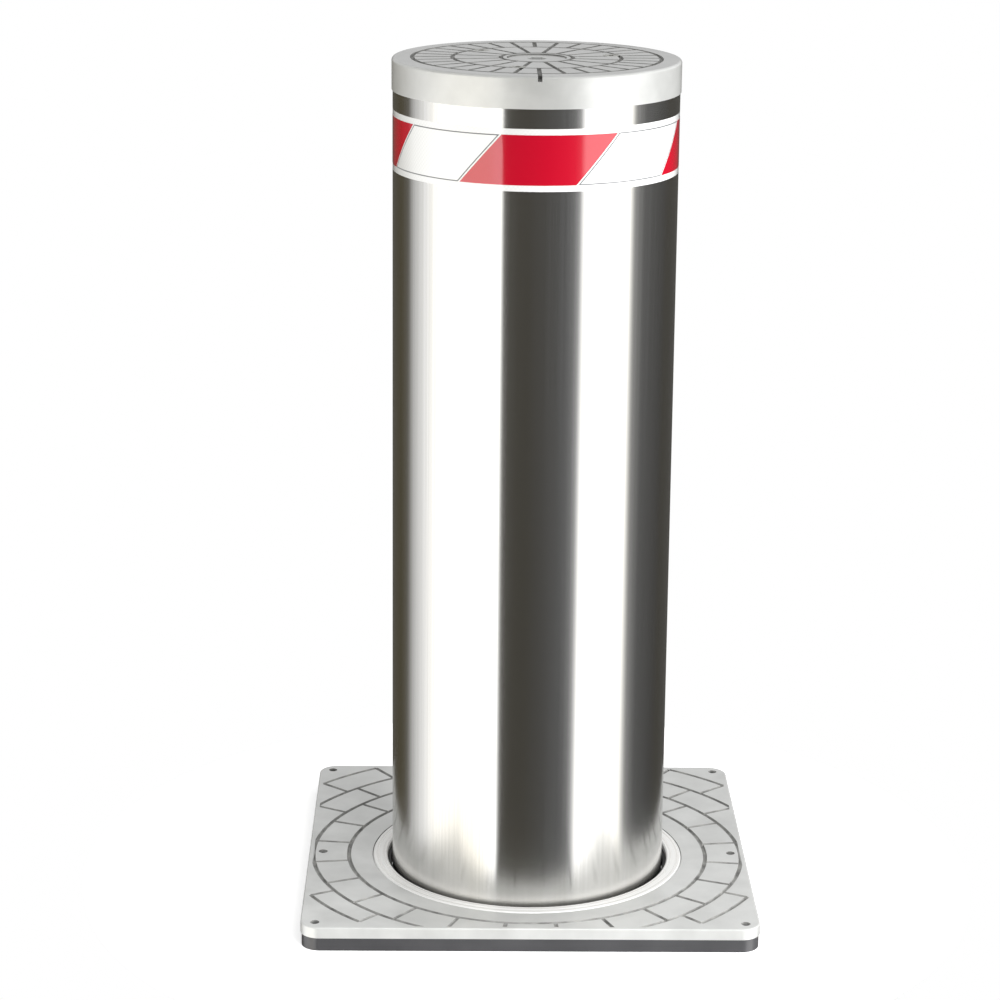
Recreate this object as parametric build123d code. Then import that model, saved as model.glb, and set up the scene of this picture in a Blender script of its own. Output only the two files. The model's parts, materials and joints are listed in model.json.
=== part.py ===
from build123d import *
import math
import os

# Retractable bollard: a polished steel column that a hydraulic ram lifts out of a buried steel box.
# Millimetres, +Z up, -Y is the front.  The origin is the middle of the buried box's underside.

# ---- ground works -----------------------------------------------------------------------------
PIT_SIDE = 400.0            # outside of the square buried box
PIT_WALL = 4.0
BASE_THICK = 10.0           # floor plate of the box
GROUND_Z = 1100.0           # pavement level, the underside of the square frame
FRAME_THICK = 13.0          # dark steel frame under the cover
FRAME_SIDE = 440.0
COVER_THICK = 11.0          # cast cover plate
COVER_SIDE = 442.0
COVER_CORNER = 19.0
COVER_EDGE_ROUND = 1.6
COLLAR_SIDE = 436.0         # angle collar that the cover screws go into
COLLAR_THICK = 8.0

# ---- column -----------------------------------------------------------------------------------
COLUMN_Y = -27.5            # the column stands forward of the middle of the cover
STROKE = 800.0
HEAD_PROUD = 6.0            # head above the cover when the column is down
TUBE_R = 136.5              # 273 mm pipe
TUBE_WALL = 6.0
HEAD_R = 137.5
HEAD_HEIGHT = 30.0
HEAD_EDGE_ROUND = 3.0
TUBE_IN_GUIDE = 190.0       # length of column left below pavement level when it is up
BAND_HEIGHT = 57.5          # reflective sheeting
BAND_BELOW_HEAD = 18.0
BAND_RECESS = 0.4

# ---- cobble pattern ---------------------------------------------------------------------------
GROOVE_MOUTH = 4.2          # width of a joint at the face, where its sloping walls open out
GROOVE_FLOOR = 2.2
GROOVE_DEPTH = 2.0
RING_PITCH = 36.0           # radial height of one course of cobbles
FIRST_COURSE_R = 180.7      # inside of the first full course on the cover
FRONT_COURSE = 25.7         # shorter course at the two front corners
PATTERN_INSET = 4.5         # plain edge round the cover
COURSE_STEP = 15.0          # degrees of one cobble on the cover
HEAD_OUTER_COURSE_R = 118.0
HEAD_INNER_COURSE_R = 80.0
HEAD_OUTER_COBBLES = 32
HEAD_INNER_COBBLES = 16
SECOND_COURSE = (30.0, 150.0)               # angles that the back courses cover, from the column's axis
BACK_CORNER_COBBLE = (33.7, 48.2)           # the cobble in each back corner, either side of straight back
FRONT_CORNER_COBBLE = (42.7, 62.0)          # the cobble in each front corner, either side of straight forward
KEY_SLOT_WIDTH = 4.0
KEY_SLOT_DEPTH = 5.0
PLUG_MARGIN = 6.0           # plain ring round the lifting plug

# ---- running gaps -----------------------------------------------------------------------------
SLIDE_GAP = 0.3             # between faces that slide past each other
JOURNAL_GAP = 0.08          # shaft in its bearing

# ---- guide ------------------------------------------------------------------------------------
GUIDE_BORE_R = 143.0
GUIDE_OUTER_R = 150.0
GUIDE_LENGTH = 170.0
GUIDE_RING_R = TUBE_R + 0.5
GUIDE_RING_HEIGHT = 40.0
STOP_OUTER_R = 146.5        # rubber ring that the crosshead meets when the column is up
STOP_INNER_R = 140.0
ROD_X = 166.0               # two guide rods, left and right of the column
ROD_R = 12.5
BUSH_R = 18.0
BUSH_LENGTH = 40.0
CROSSHEAD_THICK = 12.0
CROSSHEAD_BORE_R = 127.0
LUG_R = 25.0

# ---- bezel and wiper --------------------------------------------------------------------------
BEZEL_INNER_R = 141.5
BEZEL_OUTER_R = 156.3
BEZEL_FLANGE_R = 163.0
BEZEL_FLANGE_THICK = 3.0
WIPER_LIP_R = 138.0
WIPER_FLANGE_R = 149.0

# ---- hydraulic ram ----------------------------------------------------------------------------
RAM_BORE_R = 27.5
RAM_OUTER_R = 34.0
RAM_FOOT_THICK = 20.0
RAM_TOP = 935.0             # top of the barrel
GLAND_HEIGHT = 25.0
GLAND_R = 38.0
PISTON_ROD_R = 18.0
ROD_THREAD_R = 12.0
PISTON_HEIGHT = 40.0
PISTON_BOTTOM = 850.0
ANCHOR_THICK = 15.0
ANCHOR_CLEAR = 12.0         # anchor plate above the gland when the column is down
PORT_Z = 60.0               # oil port near the foot of the barrel

# ---- power unit, standing inside the hollow column ---------------------------------------------
UNIT_Y = COLUMN_Y + 78.0
TANK_R = 42.0
TANK_WALL = 2.5
TANK_BOTTOM = 30.0
TANK_TOP = 330.0
BLOCK_SIDE = 80.0
BLOCK_TOP = 380.0
PUMP_COVER_THICK = 12.0
MOTOR_R = 42.0
MOTOR_WALL = 3.3
MOTOR_TOP = 560.0
END_CAP_THICK = 12.0
ROTOR_R = 26.5
SHAFT_R = 6.0
PUMP_SHAFT_R = 4.0
BEARING_R = 14.0
BEARING_HEIGHT = 10.0

# ---- pump gears -------------------------------------------------------------------------------
GEAR_TEETH = 10
GEAR_MODULE = 2.0
GEAR_PRESSURE_ANGLE = math.radians(25.0)
GEAR_CENTRES = GEAR_TEETH * GEAR_MODULE + 0.1
GEAR_TIP_R = (GEAR_TEETH / 2 + 0.8) * GEAR_MODULE
GEAR_ROOT_R = (GEAR_TEETH / 2 - 1.05) * GEAR_MODULE
GEAR_BACKLASH = 0.12        # thinning of each tooth at the pitch circle
CHAMBER_BOTTOM = 360.0
JOURNAL_DEPTH = 8.0

# ---- oil pipe, lowering valve and hand valve -----------------------------------------------------
UNIT_PORT = (BLOCK_SIDE / 2, UNIT_Y - 20.5, 345.0)      # pressure outlet, right side of the block
UNION_LENGTH = 12.0
PIPE_R = 5.0
PIPE_BORE_R = 3.5
PIPE_BEND = 18.0
PIPE_REACH = 72.0
VALVE_R = 9.0
VALVE_BORE_R = 5.8
VALVE_LENGTH = 42.0
VALVE_END = 3.0             # closed end of the valve tube
VALVE_TRAVEL = 3.0
VALVE_SEAT = (-BLOCK_SIDE / 2, UNIT_Y, 348.0)
COIL_R = 17.0
COIL_LENGTH = 30.0
KNOB_STEM_R = 4.0
KNOB_SEAT = (BLOCK_SIDE / 2, UNIT_Y + 14.0, 345.0)
KNOB_GRIP_R = 12.0
KNOB_NOTCHES = 6
KNOB_NOTCH_R = 3.0

# ---- ram foot and rubber buffers ------------------------------------------------------------------
RAM_FOOT_WIDTH = 130.0
RAM_FOOT_DEPTH = 69.0
FOOT_BOLT_R = 5.0
FOOT_BOLTS = [(sx * 52.0, COLUMN_Y + sy * 20.0) for sx in (-1, 1) for sy in (-1, 1)]
RAM_PORT_END = RAM_OUTER_R + 8.0
BUFFER_HEIGHT = 28.0
BUFFER_R = 14.0
BUFFER_POST_R = 12.0
BUFFER_PCR = 138.0

# ---- cover and head screws ----------------------------------------------------------------------
SCREW_REACH = 207.0         # cover screws from the middle of the cover
SCREW_PLACES = [(side * SCREW_REACH, y) for side in (-1, 1) for y in (-SCREW_REACH, COLUMN_Y, SCREW_REACH)]
COVER_SCREW_R = 2.5
COVER_SCREW_HEAD_R = 4.25
COVER_SCREW_RECESS_R = 4.5
COVER_SCREW_SUNK = 3.0      # top of the screw head below the cover's face
COVER_SCREW_HEAD_HEIGHT = 5.0
HEAD_SCREW_PCR = 73.6
HEAD_SCREW_ANGLES = (-105.0, 15.0, 135.0)
HEAD_SCREW_R = 4.0
HEAD_SCREW_HEAD_R = 8.0
HEAD_SCREW_HEAD_HEIGHT = 4.5

# ---- inside of the head -------------------------------------------------------------------------
HEAD_CAVITY_R = 112.0
HEAD_SKIN = 10.0
HEAD_BOSS_R = 12.0
HEAD_SPIGOT_WALL = 12.0
HEAD_SPIGOT_DEPTH = 16.0
HEAD_RING_THICK = 10.0
HEAD_RING_BORE_R = 60.0
PLUG_R = 28.2
PLUG_RECESS_R = 28.6
PLUG_DEPTH = 6.0
PLUG_HEX = 17.0

# ---- ground lugs, conduit and drain ---------------------------------------------------------------
LUG_REACH = 20.0
LUG_WIDTH = 60.0
LUG_THICK = 6.0
LUG_HEIGHTS = (300.0, 800.0)
BACK_LUG_X = 90.0
CONDUIT_R = 24.0
CONDUIT_BORE_R = 20.0
CONDUIT_Z = 1010.0
DRAIN_R = 29.0
DRAIN_BORE_R = 25.0
DRAIN_Z = 42.0
STUB_LENGTH = 40.0
STUB_START = COVER_SIDE / 2 - STUB_LENGTH

# ---- electrical pieces on the back wall ----------------------------------------------------------
JUNCTION_WIDTH = 140.0
JUNCTION_DEPTH = 50.0
JUNCTION_BOTTOM = 560.0
JUNCTION_TOP = 680.0
JUNCTION_WALL = 3.0
JUNCTION_LID = 4.0
JUNCTION_BOSS_R = 6.0
LID_SCREWS = [(sx * 60.0, z) for sx in (-1, 1) for z in (JUNCTION_BOTTOM + 10, JUNCTION_TOP - 10)]
LID_SCREW_R = 2.0
GLAND_PLACES = (-35.0, 35.0)
GLAND_THREAD_R = 8.0
SENSOR_R = 9.0
SENSOR_LENGTH = 48.0
SENSOR_FACE = COLUMN_Y + GUIDE_OUTER_R + 4.0
BRACKET_WIDTH = 44.0
BRACKET_THICK = 4.0

# ---- values worked out from the ones above ------------------------------------------------------
FRAME_TOP = GROUND_Z + FRAME_THICK
COVER_TOP = FRAME_TOP + COVER_THICK
HEAD_TOP = COVER_TOP + STROKE + HEAD_PROUD
TUBE_TOP = HEAD_TOP - HEAD_HEIGHT
TUBE_BOTTOM = GROUND_Z - TUBE_IN_GUIDE
TUBE_INNER_R = TUBE_R - TUBE_WALL
BAND_TOP = TUBE_TOP - BAND_BELOW_HEAD
CROSSHEAD_BOTTOM = TUBE_BOTTOM - CROSSHEAD_THICK
GUIDE_BOTTOM = GROUND_Z - GUIDE_LENGTH
GLAND_TOP = RAM_TOP + GLAND_HEIGHT
ANCHOR_BOTTOM = GLAND_TOP + STROKE + ANCHOR_CLEAR
ANCHOR_TOP = ANCHOR_BOTTOM + ANCHOR_THICK
HEAD_SPIGOT_R = TUBE_INNER_R - 0.2
PIT_INNER = PIT_SIDE / 2 - PIT_WALL
JUNCTION_FRONT = PIT_INNER - JUNCTION_DEPTH
SENSOR_HEIGHTS = (CROSSHEAD_BOTTOM + CROSSHEAD_THICK / 2 - STROKE, CROSSHEAD_BOTTOM + CROSSHEAD_THICK / 2)
BUFFER_TOP = CROSSHEAD_BOTTOM - STROKE - SLIDE_GAP
RAM_FOOT_TOP = BASE_THICK + RAM_FOOT_THICK
PUMP_TOP = BLOCK_TOP + PUMP_COVER_THICK
MOTOR_CAP_TOP = MOTOR_TOP + END_CAP_THICK
FIRST_COURSE_OUT = FIRST_COURSE_R + RING_PITCH

FLOOR = (Align.CENTER, Align.CENTER, Align.MIN)


def disc(radius, bottom, top, x=0.0, y=COLUMN_Y):
    """Upright round bar between two heights."""
    return Pos(x, y, bottom) * Cylinder(radius, top - bottom, align=FLOOR)


def ring(outer, inner, bottom, top, x=0.0, y=COLUMN_Y):
    """Upright tube between two heights."""
    return disc(outer, bottom, top, x, y) - disc(inner, bottom, top, x, y)


def block(width, depth, bottom, top, x=0.0, y=0.0):
    """Upright rectangular block between two heights."""
    return Pos(x, y, bottom) * Box(width, depth, top - bottom, align=FLOOR)


def slab(side, corner, bottom, top, x=0.0, y=0.0, depth=None):
    """Upright block with rounded upright edges."""
    outline = Pos(x, y, bottom) * RectangleRounded(side, depth or side, corner)
    return extrude(outline, amount=top - bottom)


def hexagon(across_flats, bottom, top, x=0.0, y=COLUMN_Y):
    """Upright hexagonal bar between two heights."""
    outline = Pos(x, y, bottom) * RegularPolygon(across_flats / 2, 6, major_radius=False)
    return extrude(outline, amount=top - bottom)


def lying(shape_radius, start, length, direction):
    """Round bar that starts at a point and runs along a direction."""
    return Plane(origin=start, z_dir=direction) * Cylinder(shape_radius, length, align=FLOOR)


def lying_hexagon(across_flats, start, length, direction):
    """Hexagonal bar that starts at a point and runs along a direction."""
    outline = Plane(origin=start, z_dir=direction) * RegularPolygon(across_flats / 2, 6, major_radius=False)
    return extrude(outline, amount=length)


def around_column(radius, degrees):
    """Point at a radius and angle from the column's axis."""
    angle = math.radians(degrees)
    return radius * math.cos(angle), COLUMN_Y + radius * math.sin(angle)


# ---- cobble grooves ---------------------------------------------------------------------------
def groove_section(plane):
    """Cross-section of a joint, with sloping walls, whose mouth is at the plane's origin."""
    corners = [(GROOVE_FLOOR / 2, -GROOVE_DEPTH), (GROOVE_MOUTH / 2, 0), (GROOVE_MOUTH / 2, 1)]
    corners += [(-x, y) for x, y in reversed(corners)]
    return plane * make_face(Polyline(corners, close=True))


def arc_groove(radius, face_z, start=0.0, end=360.0):
    """Joint along a course, from one angle to another."""
    section = Rot(0, 0, start) * (Pos(radius, 0, face_z) * groove_section(Plane.XZ))
    return Pos(0, COLUMN_Y, 0) * revolve(section, Axis.Z, end - start)


def radial_groove(inner, outer, degrees, face_z):
    """Joint between two cobbles of a course."""
    bar = extrude(Pos(inner, 0, face_z) * groove_section(Plane.YZ), amount=outer - inner)
    return Pos(0, COLUMN_Y, 0) * (Rot(0, 0, degrees) * bar)


def cover_grooves():
    """Joints between the cobbles, in courses round the column."""
    second = FIRST_COURSE_OUT + RING_PITCH
    third = second + RING_PITCH
    front = FIRST_COURSE_OUT + FRONT_COURSE
    grooves = [arc_groove(FIRST_COURSE_R, COVER_TOP), arc_groove(FIRST_COURSE_OUT, COVER_TOP)]
    for k in range(round(360 / COURSE_STEP)):
        grooves.append(radial_groove(FIRST_COURSE_R, FIRST_COURSE_OUT, (k + 0.5) * COURSE_STEP, COVER_TOP))
    start, end = SECOND_COURSE
    grooves.append(arc_groove(second, COVER_TOP, start, end))
    for k in range(round((end - start) / COURSE_STEP) + 1):
        grooves.append(radial_groove(FIRST_COURSE_OUT, second, start + k * COURSE_STEP, COVER_TOP))
    for side in (-1, 1):
        back = sorted(90 + side * a for a in BACK_CORNER_COBBLE)
        grooves.append(arc_groove(third, COVER_TOP, *back))
        grooves += [radial_groove(second, third, degrees, COVER_TOP) for degrees in back]
        fore = sorted(-90 + side * a for a in FRONT_CORNER_COBBLE)
        grooves.append(arc_groove(front, COVER_TOP, *fore))
        grooves += [radial_groove(FIRST_COURSE_OUT, front, degrees, COVER_TOP) for degrees in fore]
    edge = COVER_SIDE - 2 * PATTERN_INSET
    inside = slab(edge, COVER_CORNER - PATTERN_INSET, COVER_TOP - 2 * GROOVE_DEPTH, COVER_TOP + 2)
    return [groove & inside for groove in grooves]


def head_grooves():
    """Two courses of cobbles on the head, with the front key slot."""
    plug_course = PLUG_R + PLUG_MARGIN
    grooves = [arc_groove(r, HEAD_TOP) for r in (HEAD_OUTER_COURSE_R, HEAD_INNER_COURSE_R, plug_course)]
    for k in range(HEAD_OUTER_COBBLES):
        degrees = 360.0 * k / HEAD_OUTER_COBBLES
        grooves.append(radial_groove(HEAD_INNER_COURSE_R, HEAD_OUTER_COURSE_R, degrees, HEAD_TOP))
    for k in range(HEAD_INNER_COBBLES):
        degrees = 360.0 * (k + 0.5) / HEAD_INNER_COBBLES
        grooves.append(radial_groove(plug_course, HEAD_INNER_COURSE_R, degrees, HEAD_TOP))
    slot_length = HEAD_R - HEAD_OUTER_COURSE_R + 2
    slot_y = COLUMN_Y - HEAD_R + slot_length / 2 - 1
    slot = block(KEY_SLOT_WIDTH, slot_length, HEAD_TOP - KEY_SLOT_DEPTH, HEAD_TOP + 1, 0, slot_y)
    return grooves + [slot]


# ---- cover and frame --------------------------------------------------------------------------
def cover_plate():
    plate = slab(COVER_SIDE, COVER_CORNER, FRAME_TOP, COVER_TOP)
    plate = fillet(plate.faces().sort_by(Axis.Z)[-1].edges(), COVER_EDGE_ROUND)
    plate -= disc(BEZEL_OUTER_R + 0.5, FRAME_TOP - 1, COVER_TOP + 1)
    plate -= disc(BEZEL_FLANGE_R + 0.4, FRAME_TOP - 1, FRAME_TOP + BEZEL_FLANGE_THICK + 0.3)
    head_floor = COVER_TOP - COVER_SCREW_SUNK - COVER_SCREW_HEAD_HEIGHT
    for x, y in SCREW_PLACES:
        plate -= disc(COVER_SCREW_R + 0.2, FRAME_TOP - 1, COVER_TOP, x, y)
        plate -= disc(COVER_SCREW_RECESS_R, head_floor, COVER_TOP + 1, x, y)
    return plate - cover_grooves()


def base_frame():
    frame = slab(FRAME_SIDE, COVER_CORNER - 1, GROUND_Z, FRAME_TOP)
    frame -= disc(GUIDE_BORE_R, GROUND_Z - 1, FRAME_TOP + 1)
    for x, y in SCREW_PLACES:
        frame -= disc(COVER_SCREW_R + 0.2, GROUND_Z - 1, FRAME_TOP + 1, x, y)
    return frame


def cover_screws():
    """Six socket screws through cover and frame into the collar."""
    head_top = COVER_TOP - COVER_SCREW_SUNK
    head_bottom = head_top - COVER_SCREW_HEAD_HEIGHT
    screws = []
    for x, y in SCREW_PLACES:
        screw = disc(COVER_SCREW_HEAD_R, head_bottom, head_top, x, y)
        screw += disc(COVER_SCREW_R, GROUND_Z - COLLAR_THICK + 1, head_bottom, x, y)
        screw -= hexagon(4.0, head_top - 2.5, head_top + 1, x, y)
        screws.append(screw)
    return screws


def bezel_ring():
    shoulder = FRAME_TOP + BEZEL_FLANGE_THICK
    bezel = ring(BEZEL_OUTER_R, BEZEL_INNER_R, shoulder, COVER_TOP + 0.4)
    bezel = chamfer(bezel.edges().filter_by(GeomType.CIRCLE).group_by(Axis.Z)[-1], 1.2)
    return bezel + ring(BEZEL_FLANGE_R, WIPER_FLANGE_R + 0.3, FRAME_TOP, shoulder)


def wiper_seal():
    flange = ring(WIPER_FLANGE_R, WIPER_LIP_R, FRAME_TOP, FRAME_TOP + BEZEL_FLANGE_THICK)
    return flange + ring(BEZEL_INNER_R - 0.3, WIPER_LIP_R, FRAME_TOP - 7, COVER_TOP - 5)


# ---- buried box -------------------------------------------------------------------------------
def pit_box():
    """Folded sheet walls, open at the top, with holes for conduit and drain in the back wall."""
    corner = 8.0
    shell = slab(PIT_SIDE, corner, BASE_THICK, GROUND_Z)
    shell -= slab(PIT_SIDE - 2 * PIT_WALL, corner - PIT_WALL, BASE_THICK - 1, GROUND_Z + 1)
    for radius, height in ((CONDUIT_R, CONDUIT_Z), (DRAIN_R, DRAIN_Z)):
        shell -= lying(radius, (0, PIT_INNER - 10, height), 30, (0, 1, 0))
    return shell


def pit_base():
    """Floor plate with a welded socket for the foot of each guide rod."""
    base = slab(PIT_SIDE, 8.0, 0, BASE_THICK)
    for side in (-1, 1):
        base += ring(LUG_R, ROD_R, BASE_THICK, BASE_THICK + 12, side * ROD_X)
    return base


def pit_collar():
    """Angle collar round the top of the box, tapped for the cover screws."""
    collar = slab(COLLAR_SIDE, COVER_CORNER - 3, GROUND_Z - COLLAR_THICK, GROUND_Z)
    collar -= slab(PIT_SIDE, 8.0, GROUND_Z - COLLAR_THICK - 1, GROUND_Z + 1)
    for x, y in SCREW_PLACES:
        collar -= disc(COVER_SCREW_R, GROUND_Z - COLLAR_THICK - 1, GROUND_Z + 1, x, y)
    return collar


def ground_lugs():
    """Flat lugs that key the box into the concrete, two on each side."""
    lugs = []
    for height in LUG_HEIGHTS:
        for side in (-1, 1):
            offset = side * (PIT_SIDE + LUG_REACH) / 2
            lugs.append(block(LUG_REACH, LUG_WIDTH, height, height + LUG_THICK, offset, 0))
            lugs.append(block(LUG_WIDTH, LUG_REACH, height, height + LUG_THICK, BACK_LUG_X, offset))
    return lugs


def pipe_stub(outer, inner, height):
    start = (0, STUB_START, height)
    return lying(outer, start, STUB_LENGTH, (0, 1, 0)) - lying(inner, start, STUB_LENGTH, (0, 1, 0))


# ---- column guide -----------------------------------------------------------------------------
def guide_rings():
    """Two plastic rings in the housing that the column slides in."""
    bottoms = (GUIDE_BOTTOM + 5, GROUND_Z - 15 - GUIDE_RING_HEIGHT)
    return [ring(GUIDE_BORE_R, GUIDE_RING_R, z, z + GUIDE_RING_HEIGHT) for z in bottoms]


def guide_rods():
    return [disc(ROD_R, BASE_THICK, GROUND_Z, side * ROD_X) for side in (-1, 1)]


def rod_clamps():
    clamps = []
    for side in (-1, 1):
        body = block(41, 44, GROUND_Z - 24, GROUND_Z, side * 172.5, COLUMN_Y)
        clamps.append(body - disc(ROD_R, GROUND_Z - 25, GROUND_Z + 1, side * ROD_X))
    return clamps


def rod_bushes():
    """Flanged bearing bushes in the crosshead, running on the guide rods."""
    bottom = CROSSHEAD_BOTTOM - (BUSH_LENGTH - CROSSHEAD_THICK) / 2
    bushes = []
    for side in (-1, 1):
        bush = disc(BUSH_R, bottom, bottom + BUSH_LENGTH, side * ROD_X)
        bush += disc(BUSH_R + 4, CROSSHEAD_BOTTOM - 4, CROSSHEAD_BOTTOM, side * ROD_X)
        bushes.append(bush - disc(ROD_R + SLIDE_GAP, bottom, bottom + BUSH_LENGTH, side * ROD_X))
    return bushes


def crosshead():
    """Ring under the column with a lug for each guide rod."""
    plate = disc(GUIDE_OUTER_R, CROSSHEAD_BOTTOM, TUBE_BOTTOM)
    plate += block(2 * ROD_X, 2 * LUG_R, CROSSHEAD_BOTTOM, TUBE_BOTTOM, 0, COLUMN_Y)
    for side in (-1, 1):
        plate += disc(LUG_R, CROSSHEAD_BOTTOM, TUBE_BOTTOM, side * ROD_X)
        plate -= disc(BUSH_R, CROSSHEAD_BOTTOM - 1, TUBE_BOTTOM + 1, side * ROD_X)
    return plate - disc(CROSSHEAD_BORE_R, CROSSHEAD_BOTTOM - 1, TUBE_BOTTOM + 1)


def buffer_places():
    """Four places under the crosshead ring, between the guide rods."""
    return [around_column(BUFFER_PCR, 45 + 90 * k) for k in range(4)]


def buffer_posts():
    return [disc(BUFFER_POST_R, BASE_THICK, BUFFER_TOP - BUFFER_HEIGHT, x, y) for x, y in buffer_places()]


def bottom_buffers():
    return [disc(BUFFER_R, BUFFER_TOP - BUFFER_HEIGHT, BUFFER_TOP, x, y) for x, y in buffer_places()]


# ---- moving column ----------------------------------------------------------------------------
def column_tube():
    """Pipe with a shallow recess that keeps the sheeting clear of the guide."""
    tube = ring(TUBE_R, TUBE_INNER_R, TUBE_BOTTOM, TUBE_TOP)
    return tube - ring(TUBE_R + 1, TUBE_R - BAND_RECESS, BAND_TOP - BAND_HEIGHT, BAND_TOP)


def head_casting():
    head = disc(HEAD_R, TUBE_TOP, HEAD_TOP)
    head = fillet(head.edges().filter_by(GeomType.CIRCLE).group_by(Axis.Z)[-1], HEAD_EDGE_ROUND)
    head -= disc(HEAD_CAVITY_R, TUBE_TOP - 1, HEAD_TOP - HEAD_SKIN)
    seat = TUBE_TOP - HEAD_SPIGOT_DEPTH
    head += ring(HEAD_SPIGOT_R, HEAD_SPIGOT_R - HEAD_SPIGOT_WALL, seat, TUBE_TOP)
    head += ring(HEAD_SPIGOT_R - HEAD_SPIGOT_WALL, HEAD_CAVITY_R, TUBE_TOP, TUBE_TOP + 2)
    for degrees in HEAD_SCREW_ANGLES:
        x, y = around_column(HEAD_SCREW_PCR, degrees)
        head += disc(HEAD_BOSS_R, seat, HEAD_TOP - HEAD_SKIN, x, y)
    for degrees in HEAD_SCREW_ANGLES:
        x, y = around_column(HEAD_SCREW_PCR, degrees)
        head -= disc(HEAD_SCREW_R, seat - 1, HEAD_TOP + 1, x, y)
        head -= screw_cone(x, y)
    head -= disc(PLUG_RECESS_R, HEAD_TOP - PLUG_DEPTH, HEAD_TOP + 1)
    return head - head_grooves()


def screw_cone(x, y):
    """Countersunk head of a head screw."""
    cone = Cone(HEAD_SCREW_R, HEAD_SCREW_HEAD_R, HEAD_SCREW_HEAD_HEIGHT, align=FLOOR)
    return Pos(x, y, HEAD_TOP - HEAD_SCREW_HEAD_HEIGHT) * cone


def head_screws():
    screws = []
    for degrees in HEAD_SCREW_ANGLES:
        x, y = around_column(HEAD_SCREW_PCR, degrees)
        foot = TUBE_TOP - HEAD_SPIGOT_DEPTH - HEAD_RING_THICK + 1
        screw = screw_cone(x, y) + disc(HEAD_SCREW_R, foot, HEAD_TOP - HEAD_SCREW_HEAD_HEIGHT, x, y)
        screws.append(screw - hexagon(5.0, HEAD_TOP - 3.5, HEAD_TOP + 1, x, y))
    return screws


def head_ring():
    """Steel ring welded inside the column, tapped for the head screws."""
    top = TUBE_TOP - HEAD_SPIGOT_DEPTH
    mount = ring(TUBE_INNER_R, HEAD_RING_BORE_R, top - HEAD_RING_THICK, top)
    for degrees in HEAD_SCREW_ANGLES:
        x, y = around_column(HEAD_SCREW_PCR, degrees)
        mount -= disc(HEAD_SCREW_R, top - HEAD_RING_THICK - 1, top + 1, x, y)
    return mount


def lifting_plug():
    """Threaded plug over the lifting hole in the middle of the head."""
    plug = disc(PLUG_R, HEAD_TOP - PLUG_DEPTH, HEAD_TOP - 1.0)
    plug = chamfer(plug.edges().filter_by(GeomType.CIRCLE).group_by(Axis.Z)[-1], 0.8)
    return plug - hexagon(PLUG_HEX, HEAD_TOP - PLUG_DEPTH + 1.5, HEAD_TOP)


def reflective_band():
    return ring(TUBE_R - 0.05, TUBE_R - BAND_RECESS, BAND_TOP - BAND_HEIGHT, BAND_TOP)


def rod_anchor_plate():
    plate = disc(TUBE_INNER_R, ANCHOR_BOTTOM, ANCHOR_TOP)
    return plate - disc(ROD_THREAD_R, ANCHOR_BOTTOM - 1, ANCHOR_TOP + 1)


def piston_rod():
    """Chromed rod, turned down at both ends for the piston and the anchor plate."""
    rod = disc(ROD_THREAD_R, PISTON_BOTTOM, ANCHOR_TOP + 24)
    return rod + disc(PISTON_ROD_R, PISTON_BOTTOM + PISTON_HEIGHT, ANCHOR_BOTTOM)


def rod_nut():
    return hexagon(36, ANCHOR_TOP, ANCHOR_TOP + 19) - disc(ROD_THREAD_R, ANCHOR_TOP - 1, ANCHOR_TOP + 20)


def piston():
    body = ring(RAM_BORE_R - SLIDE_GAP, ROD_THREAD_R, PISTON_BOTTOM, PISTON_BOTTOM + PISTON_HEIGHT)
    return body - ring(RAM_BORE_R, 22, PISTON_BOTTOM + 14, PISTON_BOTTOM + 26)


def piston_seal():
    return ring(RAM_BORE_R - SLIDE_GAP, 22, PISTON_BOTTOM + 14, PISTON_BOTTOM + 26)


# ---- ram --------------------------------------------------------------------------------------
def ram_foot():
    foot = slab(RAM_FOOT_WIDTH, 8, BASE_THICK, RAM_FOOT_TOP, 0, COLUMN_Y, depth=RAM_FOOT_DEPTH)
    for x, y in FOOT_BOLTS:
        foot -= disc(FOOT_BOLT_R, BASE_THICK - 1, RAM_FOOT_TOP + 1, x, y)
    return foot


def foot_bolts():
    bolts = []
    for x, y in FOOT_BOLTS:
        bolts.append(hexagon(17, RAM_FOOT_TOP, RAM_FOOT_TOP + 6.4, x, y)
                     + disc(FOOT_BOLT_R, BASE_THICK, RAM_FOOT_TOP, x, y))
    return bolts


def ram_barrel():
    """Barrel closed at the foot, with an oil port boss on its right."""
    barrel = disc(RAM_OUTER_R, RAM_FOOT_TOP, RAM_TOP)
    barrel += lying(10, (0, COLUMN_Y, PORT_Z), RAM_PORT_END, (1, 0, 0))
    barrel -= disc(RAM_BORE_R, RAM_FOOT_TOP + 10, RAM_TOP + 1)
    return barrel - lying(3, (0, COLUMN_Y, PORT_Z), RAM_PORT_END + 1, (1, 0, 0))


def gland_nut():
    """Nut over the top of the barrel, with a spigot that guides the rod."""
    nut = disc(GLAND_R, RAM_TOP, GLAND_TOP) + disc(RAM_BORE_R - 0.05, RAM_TOP - 25, RAM_TOP)
    nut -= disc(PISTON_ROD_R + SLIDE_GAP, RAM_TOP - 26, GLAND_TOP + 1)
    nut -= disc(23, GLAND_TOP - 12, GLAND_TOP - 3)
    for k in range(4):
        x, y = around_column(GLAND_R, 90 * k)
        nut -= disc(4, RAM_TOP - 1, GLAND_TOP + 1, x, y)
    return nut


def rod_seal():
    return ring(22.9, PISTON_ROD_R + SLIDE_GAP, GLAND_TOP - 12, GLAND_TOP - 3)


# ---- power unit -------------------------------------------------------------------------------
def oil_tank():
    """Drawn can that stands on a foot ring."""
    tank = disc(TANK_R, TANK_BOTTOM, TANK_TOP, 0, UNIT_Y)
    tank += ring(TANK_R - 1, TANK_R - 12, BASE_THICK, TANK_BOTTOM, 0, UNIT_Y)
    return tank - disc(TANK_R - TANK_WALL, TANK_BOTTOM + 3, TANK_TOP + 1, 0, UNIT_Y)


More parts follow.
